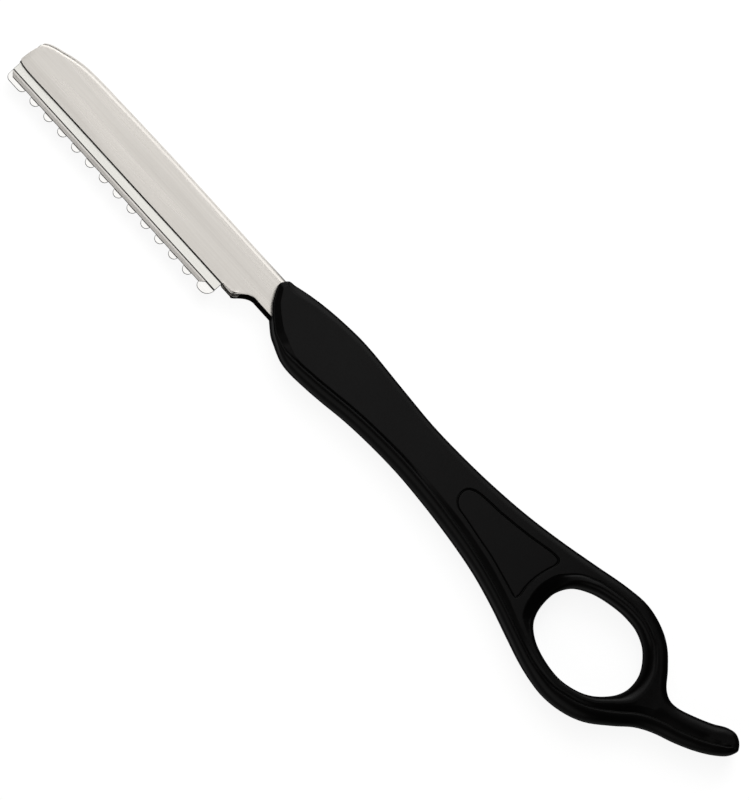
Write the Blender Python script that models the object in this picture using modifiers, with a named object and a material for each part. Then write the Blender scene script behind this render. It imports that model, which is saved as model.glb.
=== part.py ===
"""Hair-styling razor with a finger ring: a moulded handle, a folded steel blade holder and a toothed
steel guard that slides out of the holder's tip with the long blade inside it.

Metres, +X from the tip to the tail, +Y from the cutting edge to the spine, +Z up through the flat faces.
"""
import math

import bmesh
import bpy
import numpy as np
from mathutils import Vector
from mathutils.geometry import tessellate_polygon

# Blade: a long single-edge blade with clipped corners
BLADE_LENGTH = 0.0622
BLADE_WIDTH = 0.0090
BLADE_THICKNESS = 0.00025
BLADE_GRIND = 0.0008
BLADE_EDGE_FLAT = 0.00002
BLADE_CLIP = 0.0010
BLADE_SHOWS = 0.00124
BLADE_SETBACK = 0.0002
BLADE_HEEL_ROOM = 0.0029
BLADE_CLEARANCE = 0.00006

# Guard: one thin folded sheet, plain leaf in front, toothed leaf behind
GUARD_SHEET = 0.0004
GUARD_SETBACK = 0.0004
TOOTH_DEPTH = 0.00233
TOOTH_PITCH = 0.0045
TOOTH_WIDTH = 0.0025
FRONT_TOOTH_END = 0.0053
FIRST_TOOTH_GAP = 0.00185
HEEL_TOOTH_FLAT = 0.00045
HEEL_TOOTH_ROUND = 0.0022
GAP_ROOT = 0.00034
GAP_ROOT_ROUND = 0.0003
GUARD_CLEARANCE = 0.00008

# Blade holder: one folded sheet, open along the cutting side and at the tip
HOLDER_SHEET = 0.0008
HOLDER_MOUTH = 0.0021
RIB_TO_FOLD = 0.00171
RIB_DEPTH = 0.00045
RIB_WIDTH = 0.0016
RIB_START = 0.006
RIB_LEAD = 0.0012
RIB_CLEARANCE = 0.0001
TIP_LEAN = 0.00125
TIP_LEAN_POWER = 2.2
TIP_FADE = 0.010
STOP_TAB_WIDTH = 0.0030
STOP_TAB_HEIGHT = 0.0008
STOP_TAB_GAP = 0.0002
STOP_TAB_DROP = 0.00018
TAB_EDGE = 0.00015
NECK_LENGTH = 0.0042
NECK_EASE = 1.8
NECK_BARE = 0.00106
PEG_HOLE = 0.0036
PEG_SETBACK = 0.0125
PEG_SPACING = 0.015
TANG_END = 0.0065
TANG_WIDTH_SHARE = 0.2590

# Handle: one moulding round the holder's tang
HANDLE_LENGTH = 0.14300
HANDLE_WIDTH = 0.03070
NOSE_CENTRE_SHARE = 0.5158
BODY_HALF_THICKNESS = 0.0039
TAIL_HALF_THICKNESS = 0.0030
ROUND_WIDTH = 0.0021
ROUND_RISE_SHARE = 1.35
SLOPE_RISE_SHARE = 1.5
SLOPE_LEAST = 0.00013
WALL_BAND = 0.0006
GROOVE_WIDTH = 0.00025
GROOVE_DEPTH = 0.00035
GROOVE_LEAST_SHARE = 0.2
LAND_LEAST = 0.0002
ROOM_USED_SHARE = 0.9
ROOM_EASE_SHARE = 0.7
BEAD_CREST_SHARE = 0.62
BEAD_RISE_SHARE = 1.6
BEAD_SHOULDER_SHARE = 0.86
BEAD_SHOULDER_DROP_SHARE = 0.25
PANEL_DEPTH = 0.00035
SEAT_GAP = 0.0001

OVERRUN = 0.002

ARC_STEPS = 8
ROUND_STEPS = 4
CORNER_STEPS = 5
OUTLINE_STEPS = 2
HOLE_STEPS = 3
PEG_SIDES = 24
MERGE = 0.00001

# Tip end of the holder: along (of the fade length), lower edge (of the mouth's height) and spine (of its
# height above the guard's back)
TIP_SHARES = (
    (0.00, 1.25, 0.196),
    (0.04, 1.06, 0.288),
    (0.11, 0.96, 0.374),
    (0.22, 0.90, 0.463),
    (0.38, 0.87, 0.551),
    (0.60, 0.87, 0.678),
    (0.85, 0.88, 0.780),
    (1.15, 0.90, 0.863),
    (1.55, 0.92, 0.912),
    (2.10, 0.94, 0.935),
    (2.80, 0.95, 0.965),
    (4.00, 0.96, 1.000),
)

# Track rib pressed in from the rear: distance down (of its width), depth (of its depth)
RIB_SHARES = (
    (0.0, 0.0),
    (0.3, 1.0),
    (0.7, 1.0),
    (1.0, 0.0),
)

# Handle outline. Each row: along, across, width of the rounded edge, width of the slope above it.
# Along is a share of the handle's length, across of its width, the others of ROUND_WIDTH.
NOSE_SHARES = (
    (0.004, 0.623, 0.28, 0.20),
    (0.000, 0.579, 0.16, 0.32),
    (0.002, 0.546, 0.14, 0.42),
    (0.008, 0.495, 0.14, 0.48),
    (0.015, 0.447, 0.14, 0.52),
    (0.025, 0.402, 0.15, 0.55),
    (0.036, 0.360, 0.16, 0.62),
    (0.051, 0.308, 0.20, 0.70),
    (0.066, 0.276, 0.34, 0.66),
)
CUTTING_SIDE_SHARES = (
    (0.080, 0.246, 0.52, 0.48),
    (0.093, 0.228, 0.74, 0.26),
    (0.109, 0.221, 0.90, 0.15),
    (0.142, 0.230, 1.00, 0.14),
    (0.178, 0.250, 1.05, 0.14),
    (0.220, 0.280, 1.02, 0.14),
    (0.268, 0.300, 1.00, 0.14),
    (0.331, 0.310, 1.00, 0.19),
    (0.394, 0.300, 1.00, 0.52),
    (0.456, 0.277, 0.83, 0.76),
    (0.520, 0.238, 0.71, 0.74),
    (0.576, 0.179, 0.69, 0.67),
    (0.631, 0.103, 0.67, 0.48),
    (0.680, 0.036, 0.67, 0.33),
    (0.729, 0.000, 0.67, 0.29),
    (0.771, 0.025, 0.69, 0.33),
    (0.807, 0.096, 0.71, 0.43),
    (0.842, 0.234, 0.76, 0.52),
    (0.866, 0.343, 0.76, 0.52),
    (0.891, 0.415, 0.71, 0.48),
    (0.926, 0.483, 0.67, 0.43),
    (0.958, 0.561, 0.67, 0.43),
    (0.982, 0.641, 0.62, 0.33),
    (0.996, 0.710, 0.50, 0.14),
)
SPINE_SIDE_SHARES = (
    (1.000, 0.766, 0.55, 0.10),
    (0.993, 0.815, 0.60, 0.06),
    (0.979, 0.847, 0.70, 0.06),
    (0.963, 0.831, 0.80, 0.06),
    (0.942, 0.770, 0.95, 0.06),
    (0.910, 0.697, 0.90, 0.06),
    (0.888, 0.658, 0.86, 0.06),
    (0.872, 0.654, 0.86, 0.06),
    (0.857, 0.687, 0.81, 0.06),
    (0.836, 0.791, 0.76, 0.06),
    (0.811, 0.895, 0.76, 0.06),
    (0.783, 0.964, 0.76, 0.06),
    (0.743, 1.000, 0.66, 0.06),
    (0.701, 0.976, 0.66, 0.06),
    (0.645, 0.913, 0.66, 0.06),
    (0.582, 0.844, 0.64, 0.06),
    (0.513, 0.783, 0.60, 0.06),
    (0.442, 0.743, 0.58, 0.06),
    (0.380, 0.723, 0.56, 0.06),
    (0.317, 0.716, 0.55, 0.06),
    (0.247, 0.731, 0.55, 0.06),
    (0.156, 0.752, 0.55, 0.06),
    (0.107, 0.738, 0.55, 0.06),
    (0.069, 0.715, 0.55, 0.06),
    (0.037, 0.684, 0.56, 0.06),
    (0.017, 0.656, 0.52, 0.08),
    (0.008, 0.643, 0.40, 0.12),
)

# Finger hole: along, across, width of the raised bead round it (of ROUND_WIDTH)
HOLE_SHARES = (
    (0.817, 0.514, 0.71),
    (0.812, 0.634, 0.71),
    (0.791, 0.759, 0.76),
    (0.765, 0.828, 0.81),
    (0.736, 0.845, 0.86),
    (0.702, 0.823, 0.95),
    (0.671, 0.774, 1.05),
    (0.646, 0.692, 1.19),
    (0.634, 0.582, 1.43),
    (0.632, 0.476, 1.48),
    (0.637, 0.355, 1.33),
    (0.650, 0.263, 1.14),
    (0.671, 0.203, 0.90),
    (0.699, 0.166, 0.76),
    (0.728, 0.155, 0.71),
    (0.756, 0.178, 0.71),
    (0.781, 0.235, 0.71),
    (0.801, 0.326, 0.71),
    (0.813, 0.423, 0.71),
)

# Recessed panel beside the ring: along, across
PANEL_SHARES = (
    (0.436, 0.624),
    (0.492, 0.656),
    (0.541, 0.693),
    (0.587, 0.736),
    (0.599, 0.732),
    (0.603, 0.693),
    (0.599, 0.605),
    (0.596, 0.515),
    (0.596, 0.429),
    (0.599, 0.332),
    (0.596, 0.302),
    (0.569, 0.325),
    (0.527, 0.370),
    (0.492, 0.394),
    (0.456, 0.420),
    (0.436, 0.434),
    (0.425, 0.472),
    (0.421, 0.531),
    (0.424, 0.586),
)

# The thickness falls from the panel's end to the tail's end
THINNING_START_SHARE = 0.61

GUARD_HALF = BLADE_THICKNESS / 2 + BLADE_CLEARANCE + GUARD_SHEET / 2
GUARD_OUTER_HALF = GUARD_HALF + GUARD_SHEET / 2
HOLDER_HALF = GUARD_OUTER_HALF + GUARD_CLEARANCE + HOLDER_SHEET / 2
HOLDER_INNER_HALF = HOLDER_HALF - HOLDER_SHEET / 2
BLADE_BACK = BLADE_WIDTH - BLADE_SHOWS
GUARD_BACK = BLADE_BACK + GUARD_OUTER_HALF
GUARD_LENGTH = BLADE_SETBACK + BLADE_LENGTH + BLADE_HEEL_ROOM
GUARD_END = GUARD_SETBACK + GUARD_LENGTH
HOLDER_SPINE = GUARD_BACK + RIB_CLEARANCE + RIB_WIDTH + RIB_TO_FOLD + HOLDER_HALF + HOLDER_SHEET / 2
NECK_START = GUARD_END + STOP_TAB_GAP + STOP_TAB_WIDTH
HOLDER_REACH = NECK_START + NECK_LENGTH + NECK_BARE
TANG_LENGTH = PEG_SETBACK + PEG_SPACING + TANG_END
TANG_WIDTH = TANG_WIDTH_SHARE * HANDLE_WIDTH
TANG_LOW = HOLDER_SPINE - TANG_WIDTH
HANDLE_DROP = NOSE_CENTRE_SHARE * HANDLE_WIDTH - (HOLDER_SPINE - TANG_WIDTH / 2)


def clear_scene():
    """Removes what the scene holds."""
    for item in list(bpy.data.objects):
        bpy.data.objects.remove(item, do_unlink=True)


def new_collection(name):
    """A collection linked to the scene."""
    collection = bpy.data.collections.new(name)
    bpy.context.scene.collection.children.link(collection)
    return collection


def principled(name, colour, roughness, metallic):
    """A plain Principled BSDF material."""
    material = bpy.data.materials.new(name)
    material.use_nodes = True
    shader = material.node_tree.nodes["Principled BSDF"]
    shader.inputs["Base Color"].default_value = (*colour, 1.0)
    shader.inputs["Roughness"].default_value = roughness
    shader.inputs["Metallic"].default_value = metallic
    material.diffuse_color = (*colour, 1.0)
    return material


def add_object(name, mesh, collection, parent=None, material=None, place=(0.0, 0.0, 0.0)):
    """Puts a mesh in the scene as a named object."""
    item = bpy.data.objects.new(name, mesh)
    collection.objects.link(item)
    item.location = place
    item.parent = parent
    if material is not None:
        mesh.materials.append(material)
    return item


def mesh_from(name, points, faces):
    """A mesh from points and faces."""
    mesh = bpy.data.meshes.new(name)
    mesh.from_pydata([tuple(point) for point in points], [], faces)
    mesh.update()
    return mesh


def shade(item, degrees):
    """Smooth shading, with edges sharper than the given angle kept crisp."""
    item.data.shade_smooth()
    item.data.set_sharp_from_angle(angle=math.radians(degrees))


def as_cutter(item):
    """Marks an object as a guide that is not part of the razor."""
    item.hide_render = True
    item.display_type = "WIRE"
    return item


def flat_outline(name, outline, low, high, collection, parent):
    """A closed outline in the XY plane, filled and extruded between two heights, as a mesh object."""
    curve = bpy.data.curves.new(name, "CURVE")
    curve.dimensions = "2D"
    curve.fill_mode = "BOTH"
    curve.extrude = (high - low) / 2
    spline = curve.splines.new("POLY")
    spline.points.add(len(outline) - 1)
    for point, (x, y) in zip(spline.points, outline):
        point.co = (x, y, 0.0, 1.0)
    spline.use_cyclic_u = True
    guide = bpy.data.objects.new(name + "_outline", curve)
    collection.objects.link(guide)
    guide.location = (0.0, 0.0, (low + high) / 2)
    bpy.context.view_layer.update()
    evaluated = guide.evaluated_get(bpy.context.evaluated_depsgraph_get())
    mesh = bpy.data.meshes.new_from_object(evaluated)
    mesh.name = name
    weld(mesh)
    item = add_object(name, mesh, collection)
    item.matrix_world = guide.matrix_world
    item.parent = parent
    bpy.data.objects.remove(guide, do_unlink=True)
    bpy.data.curves.remove(curve)
    return item


def weld(mesh):
    """Joins doubled points and turns the faces outwards."""
    cage = bmesh.new()
    cage.from_mesh(mesh)
    bmesh.ops.remove_doubles(cage, verts=cage.verts, dist=MERGE)
    bmesh.ops.recalc_face_normals(cage, faces=cage.faces)
    cage.to_mesh(mesh)
    cage.free()


def boolean(item, name, cutter, operation="DIFFERENCE"):
    """Adds an exact Boolean modifier."""
    modifier = item.modifiers.new(name, "BOOLEAN")
    modifier.operation = operation
    modifier.solver = "EXACT"
    modifier.object = cutter


def solidify(item, thickness):
    """Gives an open surface its sheet thickness, half to each side."""
    modifier = item.modifiers.new("sheet", "SOLIDIFY")
    modifier.thickness = thickness
    modifier.offset = 0.0
    modifier.use_even_offset = True
    modifier.use_rim = True


def strip_mesh(name, rows):
    """An open surface through rows of points, each row with as many points as the next."""
    points = [point for row in rows for point in row]
    width = len(rows[0])
    faces = []
    for i in range(len(rows) - 1):
        for j in range(width - 1):
            corner = i * width + j
            faces.append((corner, corner + 1, corner + width + 1, corner + width))
    return mesh_from(name, points, faces)


def corner_arc(centre, radius, start, end):
    """Points of an arc between two angles in degrees, ends included."""
    points = []
    for step in range(CORNER_STEPS + 1):
        angle = math.radians(start + (end - start) * step / CORNER_STEPS)
        points.append((centre[0] + radius * math.cos(angle), centre[1] + radius * math.sin(angle)))
    return points


def smooth_loop(rows, steps):
    """A closed curve through the first two columns; the other columns run straight from row to row."""
    rows = np.array(rows)
    count = len(rows)
    loop = []
    for i in range(count):
        corners = [rows[(i + k) % count, :2] for k in (-1, 0, 1, 2)]
        knots = [0.0]
        for first, second in zip(corners, corners[1:]):
            knots.append(knots[-1] + math.sqrt(np.linalg.norm(second - first)))
        for step in range(steps):
            share = step / steps
            knot = knots[1] + (knots[2] - knots[1]) * share
            level = corners
            for depth in (1, 2, 3):
                blended = []
                for k in range(len(level) - 1):
                    low, high = spline_span(knots, k, depth)
                    blended.append((level[k] * (high - knot) + level[k + 1] * (knot - low)) / (high - low))
                level = blended
            others = rows[i, 2:] * (1.0 - share) + rows[(i + 1) % count, 2:] * share
            loop.append(np.concatenate((level[0], others)))
    return np.array(loop)


def spline_span(knots, k, depth):
    """The knots that a blend at this depth of the spline's pyramid runs between."""
    spans = {1: ((0, 1), (1, 2), (2, 3)), 2: ((0, 2), (1, 3)), 3: ((1, 2),)}
    low, high = spans[depth][k]
    return knots[low], knots[high]


def left_normals(loop):
    """Unit normals on the left of a closed path, from its neighbours."""
    along = np.roll(loop[:, :2], -1, axis=0) - np.roll(loop[:, :2], 1, axis=0)
    normals = np.stack((-along[:, 1], along[:, 0]), axis=1)
    return normals / np.linalg.norm(normals, axis=1, keepdims=True)


def inner_room(loop, normals):
    """Radius of the largest circle inside the outline that touches it at each point, evened out."""
    away = loop[None, :, :2] - loop[:, None, :2]
    ahead = (away * normals[:, None, :]).sum(axis=2)
    squares = (away * away).sum(axis=2)
    radii = np.where(ahead > MERGE, squares / (2.0 * np.maximum(ahead, MERGE)), HANDLE_LENGTH)
    rooms = radii.min(axis=1)
    return (rooms[None, :] + ROOM_EASE_SHARE * np.sqrt(squares)).min(axis=1)


def distance_to_loop(point, loop):
    """Shortest distance from a point to a closed path of straight runs."""
    runs = np.roll(loop, -1, axis=0) - loop
    shares = ((point - loop) * runs).sum(axis=1) / (runs * runs).sum(axis=1)
    nearest = loop + runs * np.clip(shares, 0.0, 1.0)[:, None]
    return np.linalg.norm(nearest - point, axis=1).min()


def holder_stations(gap):
    """Rows along the folded sheet: place, lower edge, spine and how far the track rib is pressed in."""
    stations = []
    for along, low, spine in TIP_SHARES:
        x = along * TIP_FADE
        stations.append((x, low * HOLDER_MOUTH, tip_spine(spine), rib_press(x)))
    middle = (x + GUARD_END) / 2
    for x in (middle, GUARD_END - RIB_LEAD, GUARD_END, NECK_START):
        stations.append((x, HOLDER_MOUTH, HOLDER_SPINE, rib_press(x)))
    for step in range(1, ARC_STEPS + 1):
        share = step / ARC_STEPS
        rise = 1.0 - (1.0 - share) ** NECK_EASE
        low = HOLDER_MOUTH + (TANG_LOW - HOLDER_MOUTH) * rise
        stations.append((NECK_START + NECK_LENGTH * share, low, HOLDER_SPINE, 0.0))
    stations.append((HOLDER_REACH, TANG_LOW, HOLDER_SPINE, 0.0))
    stations.append((HOLDER_REACH + TANG_LENGTH + gap, TANG_LOW, HOLDER_SPINE, 0.0))
    return stations


def tip_spine(share):
    """Height of the holder's spine, from its share of the height above the guard's back."""
    return GUARD_BACK + (HOLDER_SPINE - GUARD_BACK) * share


def rib_press(x):
    """Share of the rib's depth at a place along the holder."""
    rise = (x - RIB_START) / RIB_LEAD
    fall = (GUARD_END - x) / RIB_LEAD
    return min(max(min(rise, fall), 0.0), 1.0)


def holder_row(station, gap):
    """Middle surface of the folded sheet at one station, front leaf, fold, then rear leaf."""
    x, low, spine, press = station
    low -= gap
    centre = spine - HOLDER_SHEET / 2 - HOLDER_HALF
    section = [(low, HOLDER_HALF), ((low + centre) / 2, HOLDER_HALF)]
    for step in range(ARC_STEPS + 1):
        angle = math.pi / 2 - math.pi * step / ARC_STEPS
        section.append((centre + HOLDER_HALF * math.cos(angle), HOLDER_HALF * math.sin(angle)))
    rib_top = min(GUARD_BACK + RIB_CLEARANCE + RIB_WIDTH, centre - RIB_CLEARANCE)
    for down, depth in RIB_SHARES:
        section.append((rib_top - RIB_WIDTH * down, RIB_DEPTH * depth * press - HOLDER_HALF))
    section.append((low, -HOLDER_HALF))
    corner = TIP_SHARES[0][1] * HOLDER_MOUTH
    lean_span = tip_spine(TIP_SHARES[0][2]) - corner
    fade = max(1.0 - x / TIP_FADE, 0.0)
    row = []
    for y, z in section:
        lean = TIP_LEAN * (max(y - corner, 0.0) / lean_span) ** TIP_LEAN_POWER
        row.append((x + lean * fade, y, z))
    return row


def build_holder(parts, cutters, root, steel):
    """The folded sheet with its stop tab and the peg holes in its tang."""
    rows = [holder_row(station, 0.0) for station in holder_stations(0.0)]
    holder = add_object("blade_holder", strip_mesh("blade_holder", rows), parts, root, steel)
    solidify(holder, HOLDER_SHEET)
    boolean(holder, "stop_tab", stop_tab(cutters, root), "UNION")
    for number, x in enumerate(peg_places()):
        boolean(holder, f"peg_hole_{number + 1}", peg(f"peg_hole_{number + 1}", x, PEG_HOLE, cutters, root))
    shade(holder, 35)
    return holder


def stop_tab(cutters, root):
    """The piece of the front leaf's edge that is turned in as the guard's end stop."""
    start = GUARD_END + STOP_TAB_GAP
    low = HOLDER_MOUTH - STOP_TAB_DROP
    front = HOLDER_HALF + HOLDER_SHEET / 4
    back = -HOLDER_INNER_HALF + SEAT_GAP
    cage = bmesh.new()
    bmesh.ops.create_cube(cage, size=1.0)
    size = Vector((STOP_TAB_WIDTH, STOP_TAB_HEIGHT, front - back))
    centre = Vector((start + STOP_TAB_WIDTH / 2, low + STOP_TAB_HEIGHT / 2, (front + back) / 2))
    for vertex in cage.verts:
        vertex.co = vertex.co * size + centre
    lower_edges = [edge for edge in cage.edges if all(vertex.co.y < centre.y for vertex in edge.verts)]
    bmesh.ops.bevel(cage, geom=lower_edges, offset=TAB_EDGE, segments=2, profile=0.5, affect="EDGES")
    mesh = bpy.data.meshes.new("stop_tab")
    cage.to_mesh(mesh)
    cage.free()
    return as_cutter(add_object("stop_tab", mesh, cutters, root))


def peg_places():
    """Places of the two holes along the tang."""
    return (HOLDER_REACH + PEG_SETBACK, HOLDER_REACH + PEG_SETBACK + PEG_SPACING)


def peg(name, x, diameter, cutters, root):
    """A round bar across the tang."""
    cage = bmesh.new()
    depth = 2 * (HOLDER_HALF + OVERRUN)
    bmesh.ops.create_cone(cage, cap_ends=True, segments=PEG_SIDES, radius1=diameter / 2,
                          radius2=diameter / 2, depth=depth)
    mesh = bpy.data.meshes.new(name)
    cage.to_mesh(mesh)
    cage.free()
    return as_cutter(add_object(name, mesh, cutters, root, place=(x, (TANG_LOW + HOLDER_SPINE) / 2, 0.0)))


def comb_line():
    """The toothed lower line of the guard's rear leaf, from the tip to the heel."""
    small = TOOTH_WIDTH / 2
    first = FRONT_TOOTH_END + FIRST_TOOTH_GAP + small
    heel = GUARD_LENGTH - small - HEEL_TOOTH_FLAT - HEEL_TOOTH_ROUND
    room = heel - (TOOTH_PITCH - TOOTH_WIDTH) / 2 - small - first
    teeth = [(0.0, FRONT_TOOTH_END, small, small)]
    for number in range(math.floor(room / TOOTH_PITCH) + 1):
        centre = first + TOOTH_PITCH * number
        teeth.append((centre - small, centre + small, small, small))
    teeth.append((heel, GUARD_LENGTH, small, HEEL_TOOTH_ROUND))
    line = []
    for number, (start, end, first_round, last_round) in enumerate(teeth):
        if number > 0:
            centre = (start - GAP_ROOT_ROUND, -GAP_ROOT - GAP_ROOT_ROUND)
            line += corner_arc(centre, GAP_ROOT_ROUND, 90, 0)
        line += corner_arc((start + first_round, first_round - TOOTH_DEPTH), first_round, 180, 270)
        line += corner_arc((end - last_round, last_round - TOOTH_DEPTH), last_round, 270, 360)
        if number < len(teeth) - 1:
            centre = (end + GAP_ROOT_ROUND, -GAP_ROOT - GAP_ROOT_ROUND)
            line += corner_arc(centre, GAP_ROOT_ROUND, 180, 90)
    return line


def build_guard(parts, cutters, root, steel):
    """The thin folded guard, its rear leaf cut into round teeth."""
    rows = []
    for x in (0.0, GUARD_LENGTH):
        section = [(0.0, GUARD_HALF), (BLADE_BACK, GUARD_HALF)]
        for step in range(1, ARC_STEPS):
            angle = math.pi / 2 - math.pi * step / ARC_STEPS
            section.append((BLADE_BACK + GUARD_HALF * math.cos(angle), GUARD_HALF * math.sin(angle)))
        section += [(BLADE_BACK, -GUARD_HALF), (-TOOTH_DEPTH, -GUARD_HALF)]
        rows.append([(x, y, z) for y, z in section])
    guard = add_object("guard_comb", strip_mesh("guard_comb", rows), parts, root, steel,
                       place=(GUARD_SETBACK, 0.0, 0.0))
    solidify(guard, GUARD_SHEET)
    line = []
    for point in comb_line():
        if not line or math.dist(point, line[-1]) > MERGE:
            line.append(point)
    low = -TOOTH_DEPTH - OVERRUN
    line = [(-OVERRUN, low), (-OVERRUN, line[0][1])] + line
    line += [(GUARD_LENGTH + OVERRUN, line[-1][1]), (GUARD_LENGTH + OVERRUN, low)]
    reach = GUARD_OUTER_HALF + OVERRUN
    gaps = as_cutter(flat_outline("comb_gaps", line, -reach, reach, cutters, guard))
    boolean(guard, "comb_gaps", gaps)
    shade(guard, 35)
    return guard


def slice_off(cage, point, normal):
    """Cuts away what lies on the normal's side of a plane, and closes the cut."""
    everything = list(cage.verts) + list(cage.edges) + list(cage.faces)
    cut = bmesh.ops.bisect_plane(cage, geom=everything, plane_co=point, plane_no=normal, clear_outer=True,
                                 dist=MERGE / 10)
    rim = [item for item in cut["geom_cut"] if isinstance(item, bmesh.types.BMEdge)]
    bmesh.ops.contextual_create(cage, geom=rim)


def build_blade(parts, guard, steel):
    """The blade: a thin box with both corners clipped and its edge ground from both faces."""
    cage = bmesh.new()
    bmesh.ops.create_cube(cage, size=1.0)
    for vertex in cage.verts:
        vertex.co = Vector((
            (vertex.co.x + 0.5) * BLADE_LENGTH,
            (vertex.co.y + 0.5) * BLADE_WIDTH,
            vertex.co.z * BLADE_THICKNESS,
        ))
    slice_off(cage, Vector((0.0, BLADE_CLIP, 0.0)), Vector((-1.0, -1.0, 0.0)))
    slice_off(cage, Vector((BLADE_LENGTH, BLADE_CLIP, 0.0)), Vector((1.0, -1.0, 0.0)))
    fall = (BLADE_THICKNESS - BLADE_EDGE_FLAT) / 2
    for side in (1.0, -1.0):
        slice_off(cage, Vector((0.0, 0.0, side * BLADE_EDGE_FLAT / 2)), Vector((0.0, -fall, side * BLADE_GRIND)))
    mesh = bpy.data.meshes.new("blade")
    cage.to_mesh(mesh)
    cage.free()
    return add_object("blade", mesh, parts, guard, steel, place=(BLADE_SETBACK, -BLADE_SHOWS, 0.0))


def half_thickness(x):
    """Half the handle's thickness at a place along it."""
    start = THINNING_START_SHARE * HANDLE_LENGTH
    share = min(max((x - start) / (HANDLE_LENGTH - start), 0.0), 1.0)
    ease = share * share * (3.0 - 2.0 * share)
    return BODY_HALF_THICKNESS - (BODY_HALF_THICKNESS - TAIL_HALF_THICKNESS) * ease


def round_section(width, rise, top):
    """A quarter of an ellipse that climbs inwards from the side wall to the given height."""
    points = [(0.0, 0.0)]
    rise = min(rise, top - WALL_BAND)
    for step in range(ROUND_STEPS + 1):
        angle = math.pi / 2 * step / ROUND_STEPS
        points.append((width * (1.0 - math.cos(angle)), top - rise + rise * math.sin(angle)))
    return points


def edge_section(width, slope, groove, top, room):
    """Inset and height from the middle plane up to the flat face: rounded edge, groove, slope."""
    flank = GROOVE_WIDTH * max(groove, GROOVE_LEAST_SHARE)
    fit = min((room * ROOM_USED_SHARE - flank) / (width + slope), 1.0)
    width *= fit
    slope *= fit
    crown = top - max(slope - SLOPE_LEAST, 0.0) * SLOPE_RISE_SHARE
    points = round_section(width, width * ROUND_RISE_SHARE, crown)
    points.append((width + flank, crown - GROOVE_DEPTH * groove))
    points.append((width + flank + slope, top))
    return points


def bead_section(width, top):
    """Inset and height from the hole's wall over the bead into the groove and up to the flat face."""
    crest = width * BEAD_CREST_SHARE
    points = round_section(crest, crest * BEAD_RISE_SHARE, top)
    points.append((width * BEAD_SHOULDER_SHARE, top - GROOVE_DEPTH * BEAD_SHOULDER_DROP_SHARE))
    points.append((width, top - GROOVE_DEPTH))
    points.append((width + GROOVE_WIDTH, top))
    return points


def scaled_rows(rows, groove=None):
    """Shares of the handle turned into sizes."""
    scales = (HANDLE_LENGTH, HANDLE_WIDTH, ROUND_WIDTH, ROUND_WIDTH)
    result = []
    for row in rows:
        sized = [share * scale for share, scale in zip(row, scales)]
        result.append(sized if groove is None else sized + [groove])
    return result


def handle_half():
    """Upper half of the handle, open at the middle plane: lofted rim, lofted bead, flat face between."""
    outline = scaled_rows(NOSE_SHARES, 0.0) + scaled_rows(CUTTING_SIDE_SHARES, 1.0)
    outline += scaled_rows(SPINE_SIDE_SHARES, 0.0)
    rim = smooth_loop(outline, OUTLINE_STEPS)
    hole = smooth_loop(scaled_rows(HOLE_SHARES), HOLE_STEPS)
    points = []
    faces = []
    normals = left_normals(rim)
    rim_sections = []
    for row, room in zip(rim, inner_room(rim, normals)):
        rim_sections.append(edge_section(row[2], row[3], row[4], half_thickness(row[0]), room))
    rim_top = loft_loop(points, faces, rim, normals, rim_sections, False)
    land_edge = np.array([points[i][:2] for i in rim_top])
    hole_sections = []
    for row in hole:
        room = distance_to_loop(row[:2], land_edge) - GROOVE_WIDTH - LAND_LEAST
        hole_sections.append(bead_section(min(row[2], room), half_thickness(row[0])))
    hole_top = loft_loop(points, faces, hole, -left_normals(hole), hole_sections, True)
    flat = [[Vector((points[i][0], points[i][1], 0.0)) for i in loop] for loop in (rim_top, hole_top)]
    order = rim_top + hole_top
    for triangle in tessellate_polygon(flat):
        a, b, c = (order[i] for i in triangle)
        turn = (points[b][0] - points[a][0]) * (points[c][1] - points[a][1])
        turn -= (points[b][1] - points[a][1]) * (points[c][0] - points[a][0])
        faces.append((a, b, c) if turn > 0.0 else (a, c, b))
    return mesh_from("handle", points, faces)


def loft_loop(points, faces, loop, normals, sections, flipped):
    """Rows of points round a closed path, one section at each place; gives the last row's indices."""
    count = len(loop)
    height = len(sections[0])
    first = len(points)
    for row, normal, section in zip(loop, normals, sections):
        for inset, z in section:
            points.append((row[0] + normal[0] * inset, row[1] + normal[1] * inset, z))
    for i in range(count):
        here = first + i * height
        there = first + (i + 1) % count * height
        for k in range(height - 1):
            face = (here + k, there + k, there + k + 1, here + k + 1)
            faces.append(face[::-1] if flipped else face)
    return [first + i * height + height - 1 for i in range(count)]


def tang_pocket(cutters, root):
    """The space that the tang fills in the handle, with the plastic pegs left standing."""
    stations = [station for station in holder_stations(SEAT_GAP) if station[0] >= NECK_START + NECK_LENGTH]
    rows = [holder_row(station, SEAT_GAP) for station in stations]
    pocket = add_object("tang_pocket", strip_mesh("tang_pocket", rows), cutters, root)
    solidify(pocket, HOLDER_SHEET + 2 * SEAT_GAP)
    for number, x in enumerate(peg_places()):
        bar = peg(f"peg_{number + 1}", x, PEG_HOLE - 2 * SEAT_GAP, cutters, root)
        boolean(pocket, f"peg_{number + 1}", bar)
    return as_cutter(pocket)


def build_handle(parts, cutters, root, plastic):
    """The moulded handle: body with rounded rail, finger ring, tail, recessed panel and tang pocket."""
    place = (HOLDER_REACH, -HANDLE_DROP, 0.0)
    handle = add_object("handle", handle_half(), parts, root, plastic, place=place)
    mirror = handle.modifiers.new("underside", "MIRROR")
    mirror.use_axis = (False, False, True)
    mirror.merge_threshold = MERGE
    outline = [tuple(row) for row in smooth_loop(scaled_rows(PANEL_SHARES), OUTLINE_STEPS)]
    floor = BODY_HALF_THICKNESS - PANEL_DEPTH
    lid = BODY_HALF_THICKNESS + OVERRUN
    for name, low, high in (("panel_top", floor, lid), ("panel_underside", -lid, -floor)):
        boolean(handle, name, as_cutter(flat_outline(name, outline, low, high, cutters, handle)))
    boolean(handle, "tang_pocket", tang_pocket(cutters, root))
    shade(handle, 32)
    return handle


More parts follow.
